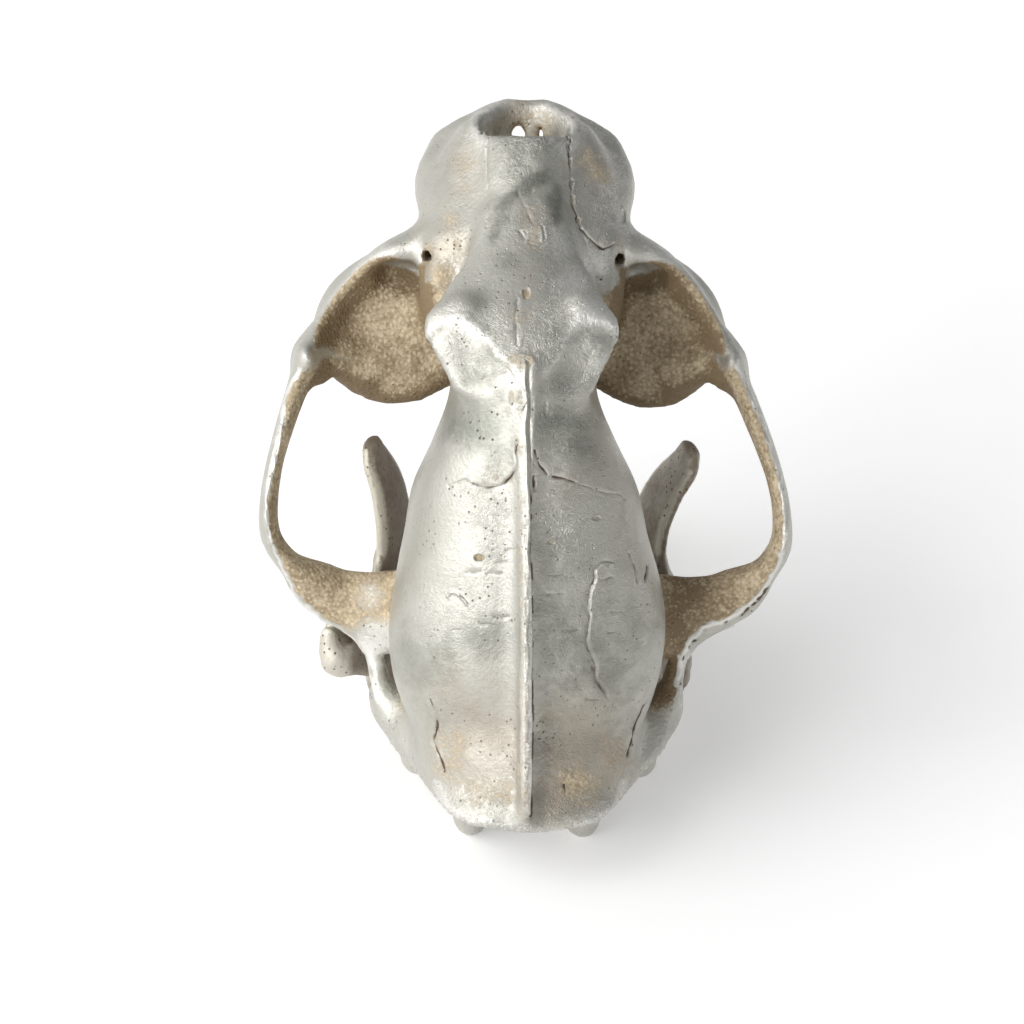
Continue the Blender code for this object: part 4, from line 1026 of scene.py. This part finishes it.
jaw_finish, shader, place = bone_material("jaw bone")
edge, body = place.kept("edge"), place.kept("body")
speck = place.noise(0.7, 4, 0.6)
cloud = place.noise(0.08, 3, 0.5)
tone = (cloud + (speck - 0.5) * 0.5).between(0.25, 0.75).mixed(TAUPE, PALE_TAUPE)
plain = (body + (cloud - 0.5) * 0.8 + (speck - 0.5) * 0.3).between(0.2, 1.0)
tone = plain.mixed(tone, DRY_BONE)
# Pale rubbed bone on the thin edges, with the painted highlight on the rear edges of the blades.
tone = (edge + (speck - 0.5) * 0.3).between(0.35, 0.8).mixed(tone, RUBBED_AND_LIT_BONE)
pit = place.pits(0.5, 0.12, 0.24) * place.noise(0.08, 2, 0.5).between(0.48, 0.55)
feed(shader, "Base Color", pit.mixed(tone, PIT_BROWN))
shine = edge.between(0.3, 0.9)
feed(shader, "Metallic", shine * 0.25 + plain * 0.3 + 0.15)
feed(shader, "Roughness", 0.62 - shine * 0.12 - plain * 0.1)
height = speck + place.stretched(0.15, 0.15, 1.2).noise(1.0, 3, 0.6) * 0.6 - pit * 0.6
feed(shader, "Normal", place.node("Bump", {}, {"Height": height, "Strength": 0.5, "Distance": 0.0006}))

# The thin edges of the blades are rubbed, their rear edges take a painted highlight that is stronger on the
# lit left, and the body is paler than the blades.
for name, side, corner, blade, rim_highlight in (("right", 1, RIGHT_CORNER, RIGHT_BLADE, 0.3),
                                       ("left", -1, LEFT_CORNER, LEFT_BLADE, 0.8)):
    clay = mandible_clay(JAW_CELL, corner, blade)
    points, faces = skin(clay)
    points = relaxed(points, faces)
    mesh = mesh_from(name + "_jaw_bone", points, faces if side > 0 else faces[:, ::-1])
    normals = read(mesh.vertex_normals, "vector") * side
    lift = 0.15 * lattice_noise(points, 9, 21) + 0.06 * lattice_noise(points, 3, 22)
    # The chin is drawn in a little.
    lift -= 0.3 * step_between(124, 132, points[:, 1])
    edge = np.clip(1 + clay.at(points - normals * 3) / 3, 0, 1)
    # Painted highlight on the rear edges of the blades, which face up into the light.
    rim = step_between(0.6, 0.9, normals @ (0.5, -0.87, 0)) * step_between(-6, 2, points[:, 2])
    keep(mesh, "edge", np.maximum(edge, rim * rim_highlight))
    strut = step_between(50, 54, points[:, 0]) * step_between(-2, -6, points[:, 2])
    strut *= step_between(7, 3, points[:, 1])
    body = step_between(18, 62, points[:, 1]) + step_between(-4, -9, points[:, 1])
    body = np.maximum(body, 0.75 * step_between(0.3, 0.9, normals[:, 0]))
    # Painted light: the inner face of the right blade faces the light and is painted paler.
    if side > 0:
        body = np.maximum(body, 0.6 * step_between(0.2, 0.7, -normals[:, 0]))
    keep(mesh, "body", np.maximum(body, strut))
    mesh.vertices.foreach_set("co", standing(jaw_to_skull(points + normals * lift[:, None], side)).ravel())
    mesh.update()
    cut_flat(mesh, (side * CHIN_GAP / 2 * MM, 0, 0), (side, 0, 0))
    cut_flat(mesh, (0, 0, 0), (0, 0, 1))
    mesh.shade_smooth()
    jaw = bpy.data.objects.new(name + "_jaw_bone", mesh)
    bpy.context.scene.collection.objects.link(jaw)
    mesh.materials.append(jaw_finish)
    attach(jaw, "root")
    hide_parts(name + "_mandible")

# The teeth: hard enamel crowns on roots that sit in their own sockets in the bone. The canines are
# long curved cones, and the cheek teeth are blades that pass each other like scissors.
# Each outline is the height of the cutting edge from one end of a tooth to the other.
EDGE = [(-1, 0.8), (-0.5, 1), (0.5, 1), (1, 0.85)]
PEG = [(-1, 0.5), (-0.4, 0.9), (0.4, 1), (1, 0.5)]
CONE = [(-1, 1), (-0.7, 1), (0, 1), (0.7, 1), (1, 1)]
PREMOLAR = [(-1, 0.25), (-0.75, 0.5), (-0.45, 0.45), (0, 1), (0.4, 0.6), (0.75, 0.4), (1, 0.2)]
SHEAR = [(-1, 0.3), (-0.8, 0.75), (-0.4, 0.7), (-0.15, 0.45), (0.2, 1), (0.65, 0.5), (1, 0.25)]
NOTCHED = [(-1, 0.2), (-0.85, 0.35), (-0.45, 1), (0, 0.5), (0.5, 0.95), (0.8, 0.7), (1, 0.3)]
# Each tooth: its name, its place, how its length is turned, half its length and width, the height of
# its crown and of its root, and its outline.
UPPER_TEETH = [
    ("incisor_1", (2.6, 145.4), 0, 1.95, 2.3, 7, 6, EDGE),
    ("incisor_2", (7.6, 144.5), -12, 2.15, 2.5, 8, 6, EDGE),
    ("incisor_3", (13.2, 141.4), -40, 2.8, 3.3, 11.5, 8, PEG),
    ("canine", (21.3, 130.8), 100, 7.4, 5.8, 36, 15, CONE),
    ("premolar_2", (23.8, 112.6), 105, 2.6, 2.2, 4, 4, PEG),
    ("premolar_3", (27.6, 100.8), 108, 7.8, 4.1, 11, 6, PREMOLAR),
    ("carnassial", (35.2, 80.2), 106, 12.0, 4.9, 14, 7, SHEAR),
    ("molar", (33.2, 65.4), 10, 3.4, 2.2, 3.5, 3.5, PEG)]
LOWER_TEETH = [
    ("incisor_1", (2.4, 136.2), 0, 1.6, 2.0, 5, 5, EDGE),
    ("incisor_2", (5.8, 135.7), -10, 1.7, 2.1, 5.5, 5, EDGE),
    ("incisor_3", (9.3, 134), -35, 2.0, 2.3, 6, 5, EDGE),
    ("canine", (13.2, 124.5), 100, 6.4, 5.1, 30, 13, CONE),
    ("premolar_3", (20.2, 99.5), 106, 6.4, 3.2, 8.5, 6, PREMOLAR),
    ("premolar_4", (24.8, 83.5), 106, 8.7, 4.0, 12, 7, PREMOLAR),
    ("carnassial", (30.2, 64.2), 107, 9.7, 4.2, 12, 7, NOTCHED)]
CANINE_CURVE = 0.0052
AROUND = 14
LEVELS = 12


def crown_rings(half_length, half_width, crown, root, edge):
    """Rings of a tooth, from the root's end to the cutting edge, as along, across and up."""
    share = -np.cos(np.linspace(0, math.pi, AROUND))
    peak = np.interp(share, [place for place, _ in edge], [height for _, height in edge])
    bulge = np.sqrt(np.maximum(1 - share**2, 0))
    long_at = [(-1, 0.6), (-0.05, 0.93), (0.12, 1), (0.6, 0.9), (1, 0.86)]
    wide_at = [(-1, 0.6), (-0.05, 0.9), (0.12, 1), (0.6, 0.62), (0.9, 0.25), (1, 0.06)]
    if edge is CONE:
        long_at = wide_at = [(-1, 0.6), (-0.05, 0.95), (0.06, 1), (0.35, 0.88), (0.72, 0.56), (0.93, 0.26),
                             (1, 0.04)]
    rings = []
    levels = np.concatenate((np.linspace(-1, -0.05, 4), np.linspace(0.06, 1, LEVELS)**0.8))
    for level in levels:
        long = np.interp(level, *zip(*long_at))
        wide = np.interp(level, *zip(*wide_at))
        follows = np.clip(level / 0.5, 0, 1)
        rise = level * crown * (1 - follows + follows * peak) if level > 0 else np.full(AROUND, level * root)
        bend = -CANINE_CURVE * np.maximum(rise, 0)**2 if edge is CONE else 0
        along = share * half_length * long + bend
        across = bulge * half_width * wide
        front = np.stack((along, across, rise), axis=1)[::-1]
        back = np.stack((along, -across, rise), axis=1)[1:-1]
        rings.append(np.concatenate((front, back)))
    return rings


def ring_faces(rings, across):
    """Closes a stack of rings, whose last ring is folded shut along its middle."""
    count = len(rings[0])
    faces = []
    for level in range(len(rings) - 1):
        low = level * count
        for k in range(count):
            after = (k + 1) % count
            faces.append((low + k, low + after, low + count + after))
            faces.append((low + k, low + count + after, low + count + k))
    for low, turned in ((0, True), ((len(rings) - 1) * count, False)):
        cap = [(0, 1, count - 1)]
        for k in range(1, across - 2):
            cap += [(k, k + 1, count - k - 1), (k, count - k - 1, count - k)]
        cap.append((across - 2, across - 1, across))
        faces += [tuple(low + k for k in (face[::-1] if turned else face)) for face in cap]
    return np.array(faces)


def tooth(row, base, up):
    """A tooth on its gum line in a jaw's own frame: its points, its faces, and each point's rise.

    The rise is the height over the gum line, as a share of the crown.
    """
    _, place, heading, half_length, half_width, crown, root, edge = row
    rings = crown_rings(half_length, half_width, crown, root, edge)
    turn = math.radians(heading)
    along = Vector((math.cos(turn), math.sin(turn), 0))
    up = Vector(up).normalized()
    along = (along - up * along.dot(up)).normalized()
    turned = np.array((along, up.cross(along), up))
    local = np.concatenate(rings)
    points = local @ turned + np.array((place[0], place[1], base))
    return points, ring_faces(rings, AROUND), local[:, 2] / crown


def upper_tooth(row, side):
    """An upper tooth points down; the canine leans out and forwards."""
    lean = (0.10, 0.16, -1) if "canine" in row[0] else (0.02, 0.1 if "incisor" in row[0] else 0, -1)
    lift = 1.6 if row[0] == "molar" else 0.4
    points, faces, rise = tooth(row, lift, lean)
    points[:, 0] *= side
    return unevened(points), faces if side > 0 else faces[:, ::-1], rise


def lower_tooth(row, side):
    """A lower tooth points up in the closed jaw; the canine leans out and forwards."""
    lean = (0.2, 0.3, 1) if "canine" in row[0] else (0, 0.25 if "incisor" in row[0] else 0, 1)
    points, faces, rise = tooth(row, LOWER_GUM, lean)
    return jaw_to_skull(points, side), faces if side > 0 else faces[:, ::-1], rise


ROOT_BROWN = (0.42, 0.34, 0.23, 1)
CROWN_CREAM = (0.80, 0.76, 0.66, 1)

enamel, shader, place = bone_material("enamel")
rise = place.kept("rise")
cloud = place.noise(0.5, 3, 0.6)
tone = (rise + (cloud - 0.5) * 0.2).between(-0.05, 0.25).mixed(ROOT_BROWN, CROWN_CREAM)
feed(shader, "Base Color", tone)
feed(shader, "Roughness", 0.5 - rise.between(-0.05, 0.2) * 0.28)
feed(shader, "Metallic", rise.between(0, 1) * 0.15 + 0.15)

for hand, side in (("right", 1), ("left", -1)):
    for jaw_name, rows, make in (("upper", UPPER_TEETH, upper_tooth), ("lower", LOWER_TEETH, lower_tooth)):
        for row in rows:
            node_name = f"{hand}_{jaw_name}_{row[0]}"
            points, faces, rise = make(row, side)
            mesh = mesh_from(node_name + "_tooth", standing(points), faces)
            keep(mesh, "rise", rise)
            mesh.shade_smooth()
            crown = bpy.data.objects.new(node_name + "_tooth", mesh)
            bpy.context.scene.collection.objects.link(crown)
            mesh.materials.append(enamel)
            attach(crown, "root")
            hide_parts(node_name)

# The plain white table top, soft window light from the upper left, and a camera that looks straight
# down on the forehead, as the skull leans back towards it.
FLOOR_HALF = 4.0
bpy.ops.mesh.primitive_plane_add(size=2 * FLOOR_HALF)
floor = bpy.context.object
floor.name = "table_top"
surface = bpy.data.materials.new("table top")
surface.use_nodes = True
for name, value in (("Base Color", (0.86, 0.86, 0.86, 1)), ("Roughness", 0.9),
                    ("Emission Color", (1, 1, 1, 1)), ("Emission Strength", 0.3)):
    surface.node_tree.nodes["Principled BSDF"].inputs[name].default_value = value
floor.data.materials.append(surface)

# The room is bright on one side and grey on the other.
DIM_SIDE = (0.24, 0.245, 0.25, 1)
BRIGHT_SIDE = (0.95, 0.95, 0.94, 1)
world = bpy.data.worlds.new("studio")
bpy.context.scene.world = world
world.use_nodes = True
tree = world.node_tree
way = Paint(tree).node("SeparateXYZ", {}, {"Vector": Paint(tree).node("TexCoord", output="Generated")}, "X")
glow = (1 - way.between(-0.75, 0.35)).mixed(DIM_SIDE, BRIGHT_SIDE)
tree.links.new(glow.socket, tree.nodes["Background"].inputs["Color"])


def soft_sun(name, toward, strength, spread):
    """A wide, soft light from far away. The way to it is in the skull's frame."""
    lamp = bpy.data.lights.new(name, "SUN")
    lamp.energy = strength
    lamp.angle = math.radians(spread)
    made = bpy.data.objects.new(name, lamp)
    bpy.context.scene.collection.objects.link(made)
    turn = Matrix.Rotation(math.radians(PITCH_DEG), 3, "X")
    made.rotation_euler = (turn @ Vector(toward)).to_track_quat("Z", "Y").to_euler()


soft_sun("window", (-0.75, 0.3, 0.6), 1.6, 50)
soft_sun("glint", (-0.5, -0.06, 0.86), 0.8, 20)

CAMERA_PLACE = np.array((-4.06, 25.52, 1345.0))
LENS_MM = 157.6
lens = bpy.data.cameras.new("camera")
lens.lens = LENS_MM
lens.sensor_width = 36.0
camera = bpy.data.objects.new("camera", lens)
bpy.context.scene.collection.objects.link(camera)
camera.location = standing(CAMERA_PLACE)
camera.rotation_euler = (math.radians(PITCH_DEG), 0, 0)
bpy.context.scene.camera = camera
bpy.context.scene.view_settings.view_transform = "Standard"
